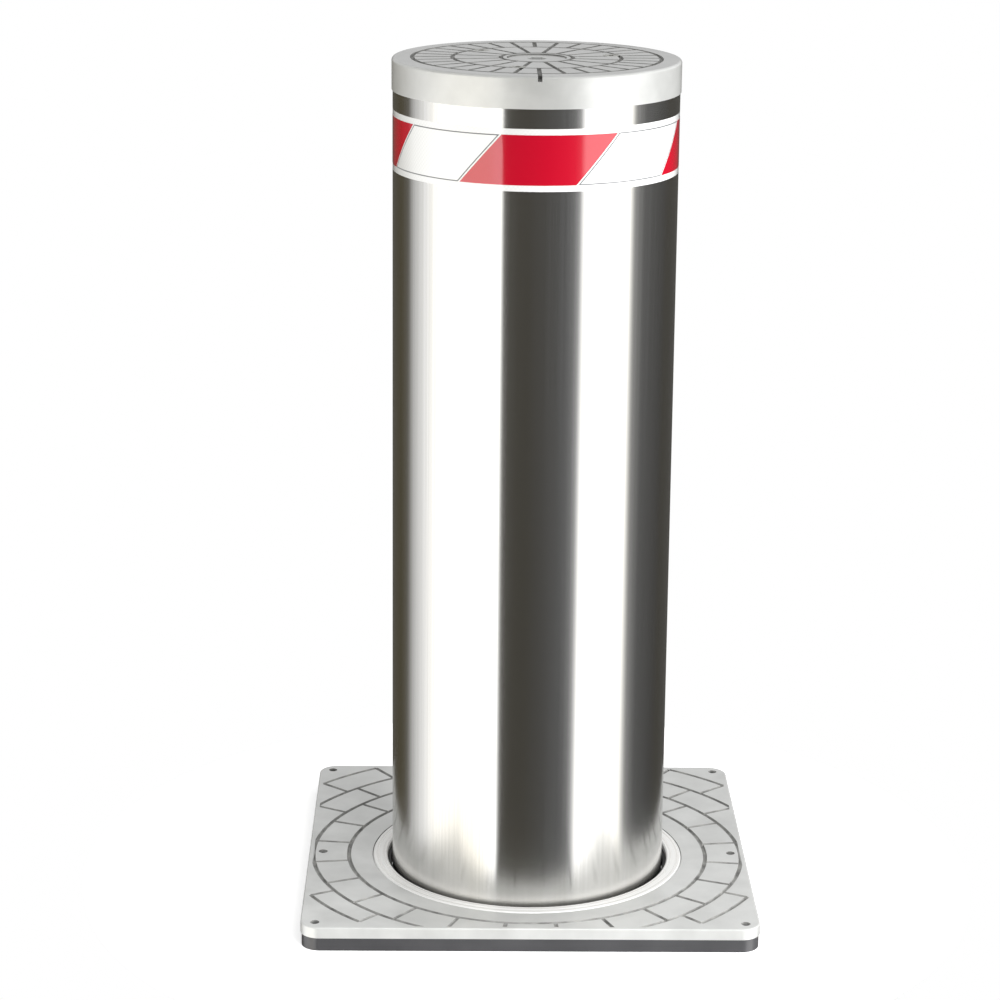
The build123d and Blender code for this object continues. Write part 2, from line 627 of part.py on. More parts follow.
def suction_strainer():
    """Pick-up pipe that hangs in the tank with a strainer on its end."""
    place = (14.0, UNIT_Y + 14.0)
    pipe = ring(5, 3.5, 70, TANK_TOP, *place)
    return pipe + ring(13, 3.5, 45, 75, *place)


def pump_block():
    """Manifold that closes the tank and holds the gear chamber."""
    body = slab(BLOCK_SIDE, 6, TANK_TOP, BLOCK_TOP, 0, UNIT_Y)
    for x in (0.0, GEAR_CENTRES):
        body -= disc(GEAR_TIP_R + SLIDE_GAP, CHAMBER_BOTTOM, BLOCK_TOP + 1, x, UNIT_Y)
        body -= disc(PUMP_SHAFT_R + JOURNAL_GAP, CHAMBER_BOTTOM - JOURNAL_DEPTH, CHAMBER_BOTTOM, x, UNIT_Y)
    body -= lying(3, UNIT_PORT, 12, (-1, 0, 0))
    body -= lying(KNOB_STEM_R + JOURNAL_GAP, KNOB_SEAT, 8, (-1, 0, 0))
    return body - lying(VALVE_BORE_R, VALVE_SEAT, 6, (1, 0, 0))


def pump_cover():
    plate = slab(BLOCK_SIDE, 6, BLOCK_TOP, PUMP_TOP, 0, UNIT_Y)
    plate -= disc(PUMP_SHAFT_R + SLIDE_GAP, BLOCK_TOP - 1, PUMP_TOP + 1, 0, UNIT_Y)
    journal_top = BLOCK_TOP + JOURNAL_DEPTH
    return plate - disc(PUMP_SHAFT_R + JOURNAL_GAP, BLOCK_TOP - 1, journal_top, GEAR_CENTRES, UNIT_Y)


def involute(angle):
    return math.tan(angle) - angle


def gear_outline(turn):
    """Involute gear outline, each flank a few straight lines between root and tip."""
    base = GEAR_TEETH * GEAR_MODULE / 2 * math.cos(GEAR_PRESSURE_ANGLE)
    pitch_r = GEAR_TEETH * GEAR_MODULE / 2
    half_pitch = math.pi / (2 * GEAR_TEETH) - GEAR_BACKLASH / (2 * pitch_r)
    radii = [base + (GEAR_TIP_R - base) * k / 5 for k in range(6)]
    flank = [(GEAR_ROOT_R, half_pitch + involute(GEAR_PRESSURE_ANGLE))]
    flank += [(r, half_pitch + involute(GEAR_PRESSURE_ANGLE) - involute(math.acos(base / r))) for r in radii]
    points = []
    for tooth in range(GEAR_TEETH):
        centre = turn + 2 * math.pi * tooth / GEAR_TEETH
        points += [(r * math.cos(centre - a), r * math.sin(centre - a)) for r, a in flank]
        points += [(r * math.cos(centre + a), r * math.sin(centre + a)) for r, a in reversed(flank)]
    return make_face(Polyline(points, close=True))


def pump_gear(x, turn, bore):
    bottom = CHAMBER_BOTTOM + SLIDE_GAP
    top = BLOCK_TOP - SLIDE_GAP
    gear = extrude(Pos(x, UNIT_Y, bottom) * gear_outline(turn), amount=top - bottom)
    if bore:
        return gear - disc(PUMP_SHAFT_R, bottom - 1, top + 1, x, UNIT_Y)
    shaft_bottom = CHAMBER_BOTTOM - JOURNAL_DEPTH + SLIDE_GAP
    return gear + disc(PUMP_SHAFT_R, shaft_bottom, BLOCK_TOP + JOURNAL_DEPTH - SLIDE_GAP, x, UNIT_Y)


def motor_housing():
    """Deep can with a floor, open at the top."""
    can = disc(MOTOR_R, PUMP_TOP, MOTOR_TOP, 0, UNIT_Y)
    can -= disc(MOTOR_R - MOTOR_WALL, PUMP_TOP + BEARING_HEIGHT + 3, MOTOR_TOP + 1, 0, UNIT_Y)
    can -= disc(BEARING_R, PUMP_TOP + 3, PUMP_TOP + BEARING_HEIGHT + 4, 0, UNIT_Y)
    return can - disc(PUMP_SHAFT_R + 1, PUMP_TOP - 1, PUMP_TOP + 4, 0, UNIT_Y)


def motor_end_cap():
    cap = disc(MOTOR_R, MOTOR_TOP, MOTOR_CAP_TOP, 0, UNIT_Y)
    cap += disc(BEARING_R + 4, MOTOR_TOP - BEARING_HEIGHT, MOTOR_TOP, 0, UNIT_Y)
    return cap - disc(BEARING_R, MOTOR_TOP - BEARING_HEIGHT - 1, MOTOR_TOP, 0, UNIT_Y)


def motor_bearings():
    bore = SHAFT_R + JOURNAL_GAP
    low = PUMP_TOP + 3
    high = MOTOR_TOP - BEARING_HEIGHT
    return [ring(BEARING_R, bore, z, z + BEARING_HEIGHT, 0, UNIT_Y) for z in (low, high)]


def motor_stator():
    return ring(MOTOR_R - MOTOR_WALL, ROTOR_R + 0.8, 430, 530, 0, UNIT_Y)


def motor_rotor():
    """Rotor core on a shaft whose lower end drives the pump gear."""
    rotor = disc(ROTOR_R, 425, 535, 0, UNIT_Y)
    rotor += disc(SHAFT_R, PUMP_TOP + 3 + SLIDE_GAP, MOTOR_TOP - 1, 0, UNIT_Y)
    shaft_bottom = CHAMBER_BOTTOM - JOURNAL_DEPTH + SLIDE_GAP
    return rotor + disc(PUMP_SHAFT_R, shaft_bottom, PUMP_TOP + 4, 0, UNIT_Y)


def valve_tube():
    """Closed brass tube of the lowering valve."""
    tube = lying(VALVE_R, VALVE_SEAT, VALVE_LENGTH, (-1, 0, 0))
    return tube - lying(VALVE_BORE_R, VALVE_SEAT, VALVE_LENGTH - VALVE_END, (-1, 0, 0))


def valve_coil():
    start = (VALVE_SEAT[0] - 6, VALVE_SEAT[1], VALVE_SEAT[2])
    return lying(COIL_R, start, COIL_LENGTH, (-1, 0, 0)) - lying(VALVE_R, start, COIL_LENGTH, (-1, 0, 0))


def valve_plunger():
    """Sprung iron plunger that the coil pulls back to let the oil out."""
    length = VALVE_LENGTH - VALVE_END - VALVE_TRAVEL - 1
    start = (VALVE_SEAT[0] + 4, VALVE_SEAT[1], VALVE_SEAT[2])
    return lying(VALVE_BORE_R - SLIDE_GAP, start, length, (-1, 0, 0))


def release_knob():
    """Hand valve that lowers the column when the power is off."""
    start = (KNOB_SEAT[0] - 7, KNOB_SEAT[1], KNOB_SEAT[2])
    knob = lying(KNOB_STEM_R, start, 14, (1, 0, 0))
    grip_start = (KNOB_SEAT[0] + 5, KNOB_SEAT[1], KNOB_SEAT[2])
    grip = lying(KNOB_GRIP_R, grip_start, 12, (1, 0, 0))
    reach = KNOB_GRIP_R + 1
    for k in range(KNOB_NOTCHES):
        angle = 2 * math.pi * k / KNOB_NOTCHES
        notch = (grip_start[0], KNOB_SEAT[1] + reach * math.cos(angle), KNOB_SEAT[2] + reach * math.sin(angle))
        grip -= lying(KNOB_NOTCH_R, notch, 13, (1, 0, 0))
    return knob + grip


def filler_plug():
    seat = (-18.0, UNIT_Y + BLOCK_SIDE / 2, 356.0)
    return lying_hexagon(14, seat, 5, (0, 1, 0))


def pressure_pipe():
    """Oil pipe from the pump block down to the foot of the ram."""
    start = Vector(*UNIT_PORT)
    end = Vector(RAM_PORT_END, COLUMN_Y, PORT_Z)
    over = Vector(PIPE_REACH, start.Y, start.Z)
    under = Vector(PIPE_REACH, COLUMN_Y, PORT_Z)
    path = FilletPolyline(start, over, under, end, radius=PIPE_BEND)
    section = Plane(origin=start, z_dir=(1, 0, 0)) * (Circle(PIPE_R) - Circle(PIPE_BORE_R))
    return sweep(section, path=path)


def pipe_unions():
    unions = []
    for x, y, z in (UNIT_PORT, (RAM_PORT_END, COLUMN_Y, PORT_Z)):
        nut = lying_hexagon(19, (x, y, z), UNION_LENGTH, (1, 0, 0))
        unions.append(nut - lying(PIPE_R, (x, y, z), UNION_LENGTH, (1, 0, 0)))
    return unions


# ---- electrical pieces ---------------------------------------------------------------------------
def junction_box():
    middle = PIT_INNER - JUNCTION_DEPTH / 2
    box = block(JUNCTION_WIDTH, JUNCTION_DEPTH, JUNCTION_BOTTOM, JUNCTION_TOP, 0, middle)
    inner_width = JUNCTION_WIDTH - 2 * JUNCTION_WALL
    box -= block(inner_width, JUNCTION_DEPTH, JUNCTION_BOTTOM + JUNCTION_WALL, JUNCTION_TOP - JUNCTION_WALL,
                 0, middle - JUNCTION_WALL)
    for x, z in LID_SCREWS:
        box += lying(JUNCTION_BOSS_R, (x, JUNCTION_FRONT, z), JUNCTION_DEPTH, (0, 1, 0))
        box -= lying(LID_SCREW_R, (x, JUNCTION_FRONT - 1, z), 16, (0, 1, 0))
    for x in GLAND_PLACES:
        box -= disc(GLAND_THREAD_R, JUNCTION_BOTTOM - 1, JUNCTION_BOTTOM + JUNCTION_WALL + 1, x, middle)
    return box


def junction_lid():
    middle = JUNCTION_FRONT - JUNCTION_LID / 2
    lid = block(JUNCTION_WIDTH, JUNCTION_LID, JUNCTION_BOTTOM, JUNCTION_TOP, 0, middle)
    for x, z in LID_SCREWS:
        lid -= lying(LID_SCREW_R, (x, JUNCTION_FRONT + 1, z), JUNCTION_LID + 2, (0, -1, 0))
    return lid


def lid_screws():
    screws = []
    for x, z in LID_SCREWS:
        face = (x, JUNCTION_FRONT - JUNCTION_LID, z)
        screws.append(lying(2 * LID_SCREW_R, face, 2.5, (0, -1, 0)) + lying(LID_SCREW_R, face, 18, (0, 1, 0)))
    return screws


def cable_glands():
    """Two glands under the junction box, each a nut with a tapered clamp."""
    middle = PIT_INNER - JUNCTION_DEPTH / 2
    glands = []
    for x in GLAND_PLACES:
        gland = hexagon(22, JUNCTION_BOTTOM - 8, JUNCTION_BOTTOM, x, middle)
        gland += disc(9, JUNCTION_BOTTOM - 22, JUNCTION_BOTTOM - 8, x, middle)
        gland += disc(GLAND_THREAD_R, JUNCTION_BOTTOM, JUNCTION_BOTTOM + 8, x, middle)
        glands.append(gland - disc(5, JUNCTION_BOTTOM - 23, JUNCTION_BOTTOM + 9, x, middle))
    return glands


def travel_sensors():
    return [lying(SENSOR_R, (0, SENSOR_FACE, z), SENSOR_LENGTH, (0, 1, 0)) for z in SENSOR_HEIGHTS]


def sensor_brackets():
    """Cranked plates that hold the sensors off the back wall."""
    brackets = []
    for z in SENSOR_HEIGHTS:
        plate_y = SENSOR_FACE + 26
        shelf = z + 18 - BRACKET_THICK
        bracket = block(BRACKET_WIDTH, BRACKET_THICK, z - 18, z + 18, 0, plate_y)
        bracket += block(BRACKET_WIDTH, PIT_INNER - plate_y, shelf, z + 18, 0, (PIT_INNER + plate_y) / 2)
        bracket += block(BRACKET_WIDTH, BRACKET_THICK, shelf, z + 50, 0, PIT_INNER - BRACKET_THICK / 2)
        brackets.append(bracket - lying(SENSOR_R, (0, plate_y - 5, z), 10, (0, 1, 0)))
    return brackets


NODES = {
    "cover_plate": cover_plate,
    "base_frame": base_frame,
    "cover_screws": cover_screws,
    "bezel_ring": bezel_ring,
    "wiper_seal": wiper_seal,
    "pit_box": pit_box,
    "pit_base": pit_base,
    "pit_collar": pit_collar,
    "ground_lugs": ground_lugs,
    "conduit_stub": lambda: pipe_stub(CONDUIT_R, CONDUIT_BORE_R, CONDUIT_Z),
    "drain_stub": lambda: pipe_stub(DRAIN_R, DRAIN_BORE_R, DRAIN_Z),
    "guide_housing": lambda: ring(GUIDE_OUTER_R, GUIDE_BORE_R, GUIDE_BOTTOM, GROUND_Z),
    "guide_rings": guide_rings,
    "top_stop_ring": lambda: ring(STOP_OUTER_R, STOP_INNER_R, TUBE_BOTTOM + SLIDE_GAP, GUIDE_BOTTOM),
    "guide_rods": guide_rods,
    "rod_clamps": rod_clamps,
    "buffer_posts": buffer_posts,
    "bottom_buffers": bottom_buffers,
    "column_tube": column_tube,
    "head_casting": head_casting,
    "head_screws": head_screws,
    "head_ring": head_ring,
    "lifting_plug": lifting_plug,
    "reflective_band": reflective_band,
    "rod_anchor_plate": rod_anchor_plate,
    "rod_nut": rod_nut,
    "piston_rod": piston_rod,
    "piston": piston,
    "piston_seal": piston_seal,
    "crosshead": crosshead,
    "rod_bushes": rod_bushes,
    "ram_foot": ram_foot,
    "foot_bolts": foot_bolts,
    "ram_barrel": ram_barrel,
    "gland_nut": gland_nut,
    "rod_seal": rod_seal,
    "oil_tank": oil_tank,
    "suction_strainer": suction_strainer,
    "pump_block": pump_block,
    "pump_cover": pump_cover,
    "drive_gear": lambda: pump_gear(0.0, 0.0, True),
    "idler_gear": lambda: pump_gear(GEAR_CENTRES, math.pi + math.pi / GEAR_TEETH, False),
    "motor_housing": motor_housing,
    "motor_end_cap": motor_end_cap,
    "motor_bearings": motor_bearings,
    "motor_stator": motor_stator,
    "motor_rotor": motor_rotor,
    "valve_tube": valve_tube,
    "valve_coil": valve_coil,
    "valve_plunger": valve_plunger,
    "release_knob": release_knob,
    "filler_plug": filler_plug,
    "pressure_pipe": pressure_pipe,
    "pipe_unions": pipe_unions,
    "junction_box": junction_box,
    "junction_lid": junction_lid,
    "lid_screws": lid_screws,
    "cable_glands": cable_glands,
    "travel_sensors": travel_sensors,
    "sensor_brackets": sensor_brackets,
}


for name, build in NODES.items():
    shape = build()
    if isinstance(shape, list):
        shape = Compound(children=[part for item in shape for part in item.solids()])
    export_step(shape, f"parts/{name}.step")
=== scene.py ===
"""Retractable bollard: finishes, reflective sheeting, turned pieces and the studio round the fixed frame."""

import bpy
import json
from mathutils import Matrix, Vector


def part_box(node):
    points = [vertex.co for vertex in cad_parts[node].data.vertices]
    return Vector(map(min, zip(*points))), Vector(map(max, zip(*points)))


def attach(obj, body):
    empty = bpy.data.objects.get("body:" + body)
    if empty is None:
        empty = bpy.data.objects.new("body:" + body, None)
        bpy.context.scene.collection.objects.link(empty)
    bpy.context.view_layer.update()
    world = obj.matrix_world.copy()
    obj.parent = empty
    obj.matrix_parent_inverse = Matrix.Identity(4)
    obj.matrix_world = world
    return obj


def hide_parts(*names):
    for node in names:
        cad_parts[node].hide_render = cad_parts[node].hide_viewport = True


bl_info = {
    "name": "Retractable bollard",
    "version": (1, 0, 0),
    "blender": (4, 5, 0),
    "location": "View3D > Sidebar > Bollard",
    "description": "Builds the finished look of a hydraulic retractable bollard round its fixed frame",
    "category": "Object",
}

import json
import math

import bmesh
import bpy
from mathutils import Matrix, Vector

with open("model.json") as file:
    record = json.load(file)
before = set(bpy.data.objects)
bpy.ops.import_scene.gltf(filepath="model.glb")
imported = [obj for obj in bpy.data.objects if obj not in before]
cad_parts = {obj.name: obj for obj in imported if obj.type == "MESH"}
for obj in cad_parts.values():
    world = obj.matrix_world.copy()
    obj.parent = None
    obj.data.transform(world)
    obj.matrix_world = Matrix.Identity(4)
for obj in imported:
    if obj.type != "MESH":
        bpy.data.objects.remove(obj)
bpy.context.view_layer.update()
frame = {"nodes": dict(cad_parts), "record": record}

MM = 0.001

# ---- places read from the frame -----------------------------------------------------------------
HEAD_LOW, HEAD_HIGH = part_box("head_casting")
TUBE_LOW, TUBE_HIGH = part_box("column_tube")
BAND_LOW, BAND_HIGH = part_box("reflective_band")
BEZEL_LOW, BEZEL_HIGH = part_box("bezel_ring")
WIPER_LOW, WIPER_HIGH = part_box("wiper_seal")
COVER_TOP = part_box("cover_plate")[1].z
GROUND_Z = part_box("base_frame")[0].z
COLUMN_X = (TUBE_LOW.x + TUBE_HIGH.x) / 2
COLUMN_Y = (TUBE_LOW.y + TUBE_HIGH.y) / 2
TUBE_R = (TUBE_HIGH.x - TUBE_LOW.x) / 2
BAND_R = (BAND_HIGH.x - BAND_LOW.x) / 2

# ---- camera: metres from the column's axis and the cover's top; lens and sensor in millimetres ----
CAMERA_LEFT = 0.0679
CAMERA_AHEAD = 2.8704
CAMERA_ABOVE = 1.1644
CAMERA_TURN = math.radians(-0.7395)
CAMERA_DOWN = math.radians(15.4445)
CAMERA_ROLL = math.radians(0.5527)
CAMERA_LENS = 108.94
CAMERA_SENSOR = 36.0

# ---- studio: bearing in degrees from the front towards the right, light level and warmth of a panel
STUDIO_PANELS = (
    (-180, 0.10, 0.10), (-138, 0.07, 0.50), (-124, 0.12, 0.20), (-116, 0.56, 0.0), (-99, 1.05, 0.0),
    (-85, 1.55, 0.06), (-60, 1.60, 0.12), (-40, 1.65, 0.12), (-28, 1.80, 0.0), (-26.5, 0.070, 0.15),
    (-18, 0.055, 0.25), (-6, 0.052, 0.25), (8, 0.065, 0.10), (24, 0.10, -0.02), (30, 0.15, -0.03),
    (35, 0.32, -0.03), (39, 1.70, 0.0), (80, 1.80, 0.05), (86, 0.30, 0.0), (98, 0.09, 0.0),
    (124, 0.055, 0.06), (134, 0.055, 0.22), (146, 0.065, 0.15), (180, 0.10, 0.10),
)
WARM_GREEN = 0.3            # how much of the warmth also comes out of the green
DOME_LEFT = 0.45            # light from the dome above the panels, at its left and right
DOME_RIGHT = 0.85
DOME_START = -0.02          # sine of the height at which the panels start to give way to the dome
DOME_FULL = 0.16            # and at which they have done so
FRONT_RAISE = 0.24          # the upright panels stand this much higher in front than behind
FILL_LIGHTS = (             # name, place, aim, size, watts and spread of the soft lights on the matt faces
    ("right_fill", (2.6, -0.7, 1.60), (0.0, 0.0, 1.6), 1.4, 95.0, 180),
    ("left_fill", (-2.6, -0.4, 1.60), (0.0, 0.0, 1.6), 1.4, 18.0, 180),
    ("front_fill", (-0.5, -2.9, 1.55), (0.0, 0.0, 1.6), 1.4, 6.0, 180),
    ("cover_fill", (0.15, -0.72, 1.56), (0.0, -0.25, 1.05), 0.4, 3.7, 180),
    ("box_left_fill", (-1.9, -1.3, 0.35), (0.0, 0.0, 0.3), 0.9, 4.5, 40),
    ("box_right_fill", (2.0, -0.9, 0.35), (0.0, 0.0, 0.3), 0.9, 4.0, 40),
    ("box_back_fill", (0.8, 2.2, 0.35), (0.0, 0.0, 0.3), 0.9, 6.0, 40),
)
FLOOR_GLOW = 0.42           # the floor gives off a little light, so that it shows no hard shadow
FLOOR_SEGMENTS = 96

# ---- bezel and wiper, as radii from the column's axis ---------------------------------------------
BEZEL_INNER = 141.5 * MM
BEZEL_OUTER = 156.3 * MM
BEZEL_BREAK = 1.2 * MM
BEZEL_FLANGE_INNER = 149.3 * MM
BEZEL_FLANGE_THICK = 3.0 * MM
WIPER_LIP = 138.0 * MM
WIPER_WAIST = 139.5 * MM
WIPER_BACK = 141.2 * MM
WIPER_LIP_HEIGHT = 1.5 * MM

# ---- column and band ------------------------------------------------------------------------------
BAND_SEAT = 0.35 * MM       # the tube's recess is this much deeper than the band's face
PANEL_CUTS = 40             # strips that a flat panel is cut into before it is wrapped
CUT_SNAP = 1e-7             # a vertex this near to a cut, in metres, lies on it

# ---- castings: CAD node, body, slot, whether it is round, and how deep below its face the painted joint shade reaches --
CASTINGS = (
    ("cover_plate", "pit", "cast_aluminium", False, 8.0 * MM),
    ("head_casting", "column", "cast_aluminium", True, 5.2 * MM),
    ("base_frame", "pit", "black_painted_steel", False, 0.0),
)
WELD = 0.01 * MM            # vertices nearer than this are one vertex
UNSHADED_RIM = 5.0 * MM        # no painted joint shade lies this near to the edge of a casting
UNSHADED_CORNER = 12.5 * MM    # in from where a square corner would be
UNSHADED_FACE = 0.05 * MM      # anything nearer to the face than this is the face

# ---- weld beads of the buried box -----------------------------------------------------------------
BEAD_R = 3.0 * MM
BEAD_PITCH = 9.0 * MM       # one ripple of the bead
BEAD_WAIST = 0.78           # width of the dip between two ripples, next to the width of a ripple
BEAD_SIDES = 10
BEAD_SPIN = 96

# ---- fineness of the turned pieces, and the angle from which an edge is crisp ---------------------
SPIN_STEPS = 256
SHARP = math.radians(32.0)

# ---- noise textures: their values lie mostly between these ----------------------------------------
NOISE_LOW = 0.30
NOISE_HIGH = 0.70

# ---- patterns on the bezel and the sheeting, in millimetres ---------------------------------------
TURNING_PITCH = 6.91        # between rings of the bezel: far coarser than a lathe leaves, so that they show
RING_WAVE = math.tau / 20   # rings of a Wave Texture repeat after this much of its own coordinates
CELL = 3.0                  # across one sealed cell of the sheeting


class BollardSizes(bpy.types.PropertyGroup):
    tube_wall: bpy.props.FloatProperty(
        name="Tube wall", description="Wall of the steel column", default=6.0 * MM,
        unit="LENGTH", subtype="DISTANCE")
    red_panel: bpy.props.FloatProperty(
        name="Red panel", description="Length of a red panel round the column", default=111.0 * MM,
        unit="LENGTH", subtype="DISTANCE")
    panel_gap: bpy.props.FloatProperty(
        name="Panel gap", description="White line between two panels", default=2.0 * MM,
        unit="LENGTH", subtype="DISTANCE")
    band_border: bpy.props.FloatProperty(
        name="Band border", description="White border above and below the panels", default=5.7 * MM,
        unit="LENGTH", subtype="DISTANCE")
    panel_lean: bpy.props.FloatProperty(
        name="Panel lean", description="How far the top of a panel leads its foot", default=41.5 * MM,
        unit="LENGTH", subtype="DISTANCE")
    panel_outline: bpy.props.FloatProperty(
        name="Panel outline", description="Width of the printed line round a white panel", default=1.0 * MM,
        unit="LENGTH", subtype="DISTANCE")
    sheet_thickness: bpy.props.FloatProperty(
        name="Sheeting thickness", description="How far a panel stands out from the band", default=0.12 * MM,
        unit="LENGTH", subtype="DISTANCE")
    panel_pairs: bpy.props.IntProperty(
        name="Panel pairs", description="Pairs of red and white panels round the column", default=4, min=1)
    floor_radius: bpy.props.FloatProperty(
        name="Floor radius", description="Radius of the pavement disc", default=0.45,
        unit="LENGTH", subtype="DISTANCE")
    floor_thickness: bpy.props.FloatProperty(
        name="Floor thickness", description="Thickness of the pavement disc", default=12.0 * MM,
        unit="LENGTH", subtype="DISTANCE")


class BollardColours(bpy.types.PropertyGroup):
    red: bpy.props.StringProperty(
        name="Sheeting red", description="sRGB hex of the red sheeting", default="C20026")
    white: bpy.props.StringProperty(
        name="Sheeting white", description="sRGB hex of the white sheeting", default="F1F2F1")
    enamel: bpy.props.StringProperty(
        name="Machine enamel", description="sRGB hex of the pump set's enamel", default="46606F")


# ---- small helpers --------------------------------------------------------------------------------
def linear(hex_colour):
    """Turns an sRGB hex colour to linear RGBA."""
    channels = []
    for start in (0, 2, 4):
        value = int(hex_colour[start:start + 2], 16) / 255
        channels.append(value / 12.92 if value <= 0.04045 else ((value + 0.055) / 1.055) ** 2.4)
    return (*channels, 1.0)


def grey(level):
    """Neutral linear colour of this brightness."""
    return (level, level, level, 1.0)


def per_mm(size_mm):
    """Texture scale that makes one feature this many millimetres wide on coordinates in metres."""
    return 1.0 / (size_mm * MM)


def node(tree, kind, inputs=None, stops=None, **settings):
    """Adds a node, sets its properties and ramp stops, and fills or links its inputs."""
    made = tree.nodes.new(kind)
    for key, value in settings.items():
        setattr(made, key, value)
    if stops:
        elements = made.color_ramp.elements
        while len(elements) < len(stops):
            elements.new(1.0)
        for element, (position, colour) in zip(elements, stops):
            element.position = position
            element.color = colour
    for key, value in (inputs or {}).items():
        if isinstance(value, bpy.types.NodeSocket):
            tree.links.new(value, made.inputs[key])
        else:
            made.inputs[key].default_value = value
    return made


def start_finish(name, **uniform):
    """Empty material: its tree, its shader with the uniform settings, and the object's own coordinates."""
    material = bpy.data.materials.new(name)
    material.use_nodes = True
    tree = material.node_tree
    tree.nodes.clear()
    shader = node(tree, "ShaderNodeBsdfPrincipled")
    for key, value in uniform.items():
        shader.inputs[key.replace("_", " ")].default_value = value
    node(tree, "ShaderNodeOutputMaterial", {"Surface": shader.outputs["BSDF"]})
    place = node(tree, "ShaderNodeTexCoord").outputs["Object"]
    return material, tree, shader, place


def unrolled(tree, place):
    """Coordinates laid flat off the column: distance round it, then height."""
    centred = node(tree, "ShaderNodeMapping", {"Vector": place, "Location": (-COLUMN_X, -COLUMN_Y, 0.0)})
    parts = node(tree, "ShaderNodeSeparateXYZ", {"Vector": centred.outputs["Vector"]})
    ahead = node(tree, "ShaderNodeMath", {0: parts.outputs["Y"], 1: -1.0}, operation="MULTIPLY")
    bearing = node(tree, "ShaderNodeMath", {0: parts.outputs["X"], 1: ahead.outputs["Value"]},
                   operation="ARCTAN2")
    arc = node(tree, "ShaderNodeMath", {0: bearing.outputs["Value"], 1: TUBE_R}, operation="MULTIPLY")
    flat = node(tree, "ShaderNodeCombineXYZ", {"X": arc.outputs["Value"], "Y": parts.outputs["Z"]})
    return flat.outputs["Vector"]


def dress(tree, shader, colour=None, roughness=None, normal=None):
    """Links the patterned colour, roughness and normal to the shader."""
    if colour:
        tree.links.new(colour, shader.inputs["Base Color"])
    if roughness:
        tree.links.new(roughness, shader.inputs["Roughness"])
    if normal:
        tree.links.new(normal, shader.inputs["Normal"])


# ---- finishes -------------------------------------------------------------------------------------
def cast_aluminium():
    """Sand-cast aluminium, blasted and lacquered: a pale fine grain under a thin even gloss."""
    material, tree, shader, place = start_finish(
        "cast_aluminium", Metallic=0.40, Coat_Weight=0.85, Coat_Roughness=0.12)
    cloud = node(tree, "ShaderNodeTexNoise", {"Vector": place, "Scale": per_mm(38), "Detail": 5.0})
    grain = node(tree, "ShaderNodeTexNoise", {"Vector": place, "Scale": per_mm(1.5), "Detail": 2.0})
    tone = node(tree, "ShaderNodeValToRGB", {"Fac": cloud.outputs["Fac"]},
                stops=((NOISE_LOW, linear("CDCECC")), (NOISE_HIGH, linear("DEDFDD"))))
    rough = node(tree, "ShaderNodeMapRange", {"Value": grain.outputs["Fac"], "To Min": 0.36, "To Max": 0.50})
    bump = node(tree, "ShaderNodeBump", {"Height": grain.outputs["Fac"], "Strength": 0.35,
                                         "Distance": 0.06 * MM})
    dress(tree, shader, tone.outputs["Color"], rough.outputs["Result"], bump.outputs["Normal"])
    return material


def painted_joint_shade():
    """Painted shade in the joints and screw holes of a casting: a dull mottled dark grey that stands in for
    the shade in these recesses and draws the cobbles as fine grey lines.
    """
    material, tree, shader, place = start_finish("painted_joint_shade", Metallic=0.2)
    shade_mottle = node(tree, "ShaderNodeTexNoise", {"Vector": place, "Scale": per_mm(14), "Detail": 5.0})
    # painted shade: these greys darken the recesses, where shade falls
    tone = node(tree, "ShaderNodeValToRGB", {"Fac": shade_mottle.outputs["Fac"]},
                stops=((NOISE_LOW, linear("7A7A78")), (NOISE_HIGH, linear("B0B0AD"))))
    rough = node(tree, "ShaderNodeMapRange", {"Value": shade_mottle.outputs["Fac"], "To Min": 0.55, "To Max": 0.80})
    dress(tree, shader, tone.outputs["Color"], rough.outputs["Result"])
    return material


def polished_stainless():
    """Polished 304 stainless: belt lines round the tube smear its reflections up and down, not sideways."""
    material, tree, shader, place = start_finish(
        "polished_304_stainless", Metallic=1.0, Anisotropic=1.0, Anisotropic_Rotation=0.25)
    flat = unrolled(tree, place)
    lay = node(tree, "ShaderNodeMapping", {"Vector": flat, "Scale": (per_mm(1.6), per_mm(700), 1.0)})
    streak = node(tree, "ShaderNodeTexNoise", {"Vector": lay.outputs["Vector"], "Scale": 1.0, "Detail": 4.0})
    lines = node(tree, "ShaderNodeMapping", {"Vector": flat, "Scale": (per_mm(120), per_mm(1.2), 1.0)})
    grain = node(tree, "ShaderNodeTexNoise", {"Vector": lines.outputs["Vector"], "Scale": 1.0, "Detail": 4.0})
    tone = node(tree, "ShaderNodeValToRGB", {"Fac": streak.outputs["Fac"]},
                stops=((NOISE_LOW, linear("E2E1DD")), (NOISE_HIGH, linear("ECEBE9"))))
    rough = node(tree, "ShaderNodeMapRange", {"Value": grain.outputs["Fac"], "To Min": 0.16, "To Max": 0.19})
    dress(tree, shader, tone.outputs["Color"], rough.outputs["Result"])
    return material


def bright_bezel():
    """Stainless ring turned bright on a lathe: fine rings that catch the light all the way round."""
    material, tree, shader, place = start_finish("turned_304_stainless", Metallic=0.30)
    centred = node(tree, "ShaderNodeMapping",
                   {"Vector": place, "Location": (-COLUMN_X, -COLUMN_Y, -COVER_TOP)})
    rings = node(tree, "ShaderNodeTexWave", {"Vector": centred.outputs["Vector"],
                                             "Scale": RING_WAVE * per_mm(TURNING_PITCH),
                                             "Distortion": 0.4, "Detail": 2.0},
                 wave_type="RINGS", rings_direction="Z")
    tone = node(tree, "ShaderNodeValToRGB", {"Fac": rings.outputs["Fac"]},
                stops=((0.0, linear("F0EFEC")), (1.0, linear("F8F8F6"))))
    rough = node(tree, "ShaderNodeMapRange", {"Value": rings.outputs["Fac"], "To Min": 0.26, "To Max": 0.34})
    bump = node(tree, "ShaderNodeBump", {"Height": rings.outputs["Fac"], "Strength": 0.2,
                                         "Distance": 0.02 * MM})
    dress(tree, shader, tone.outputs["Color"], rough.outputs["Result"], bump.outputs["Normal"])
    return material


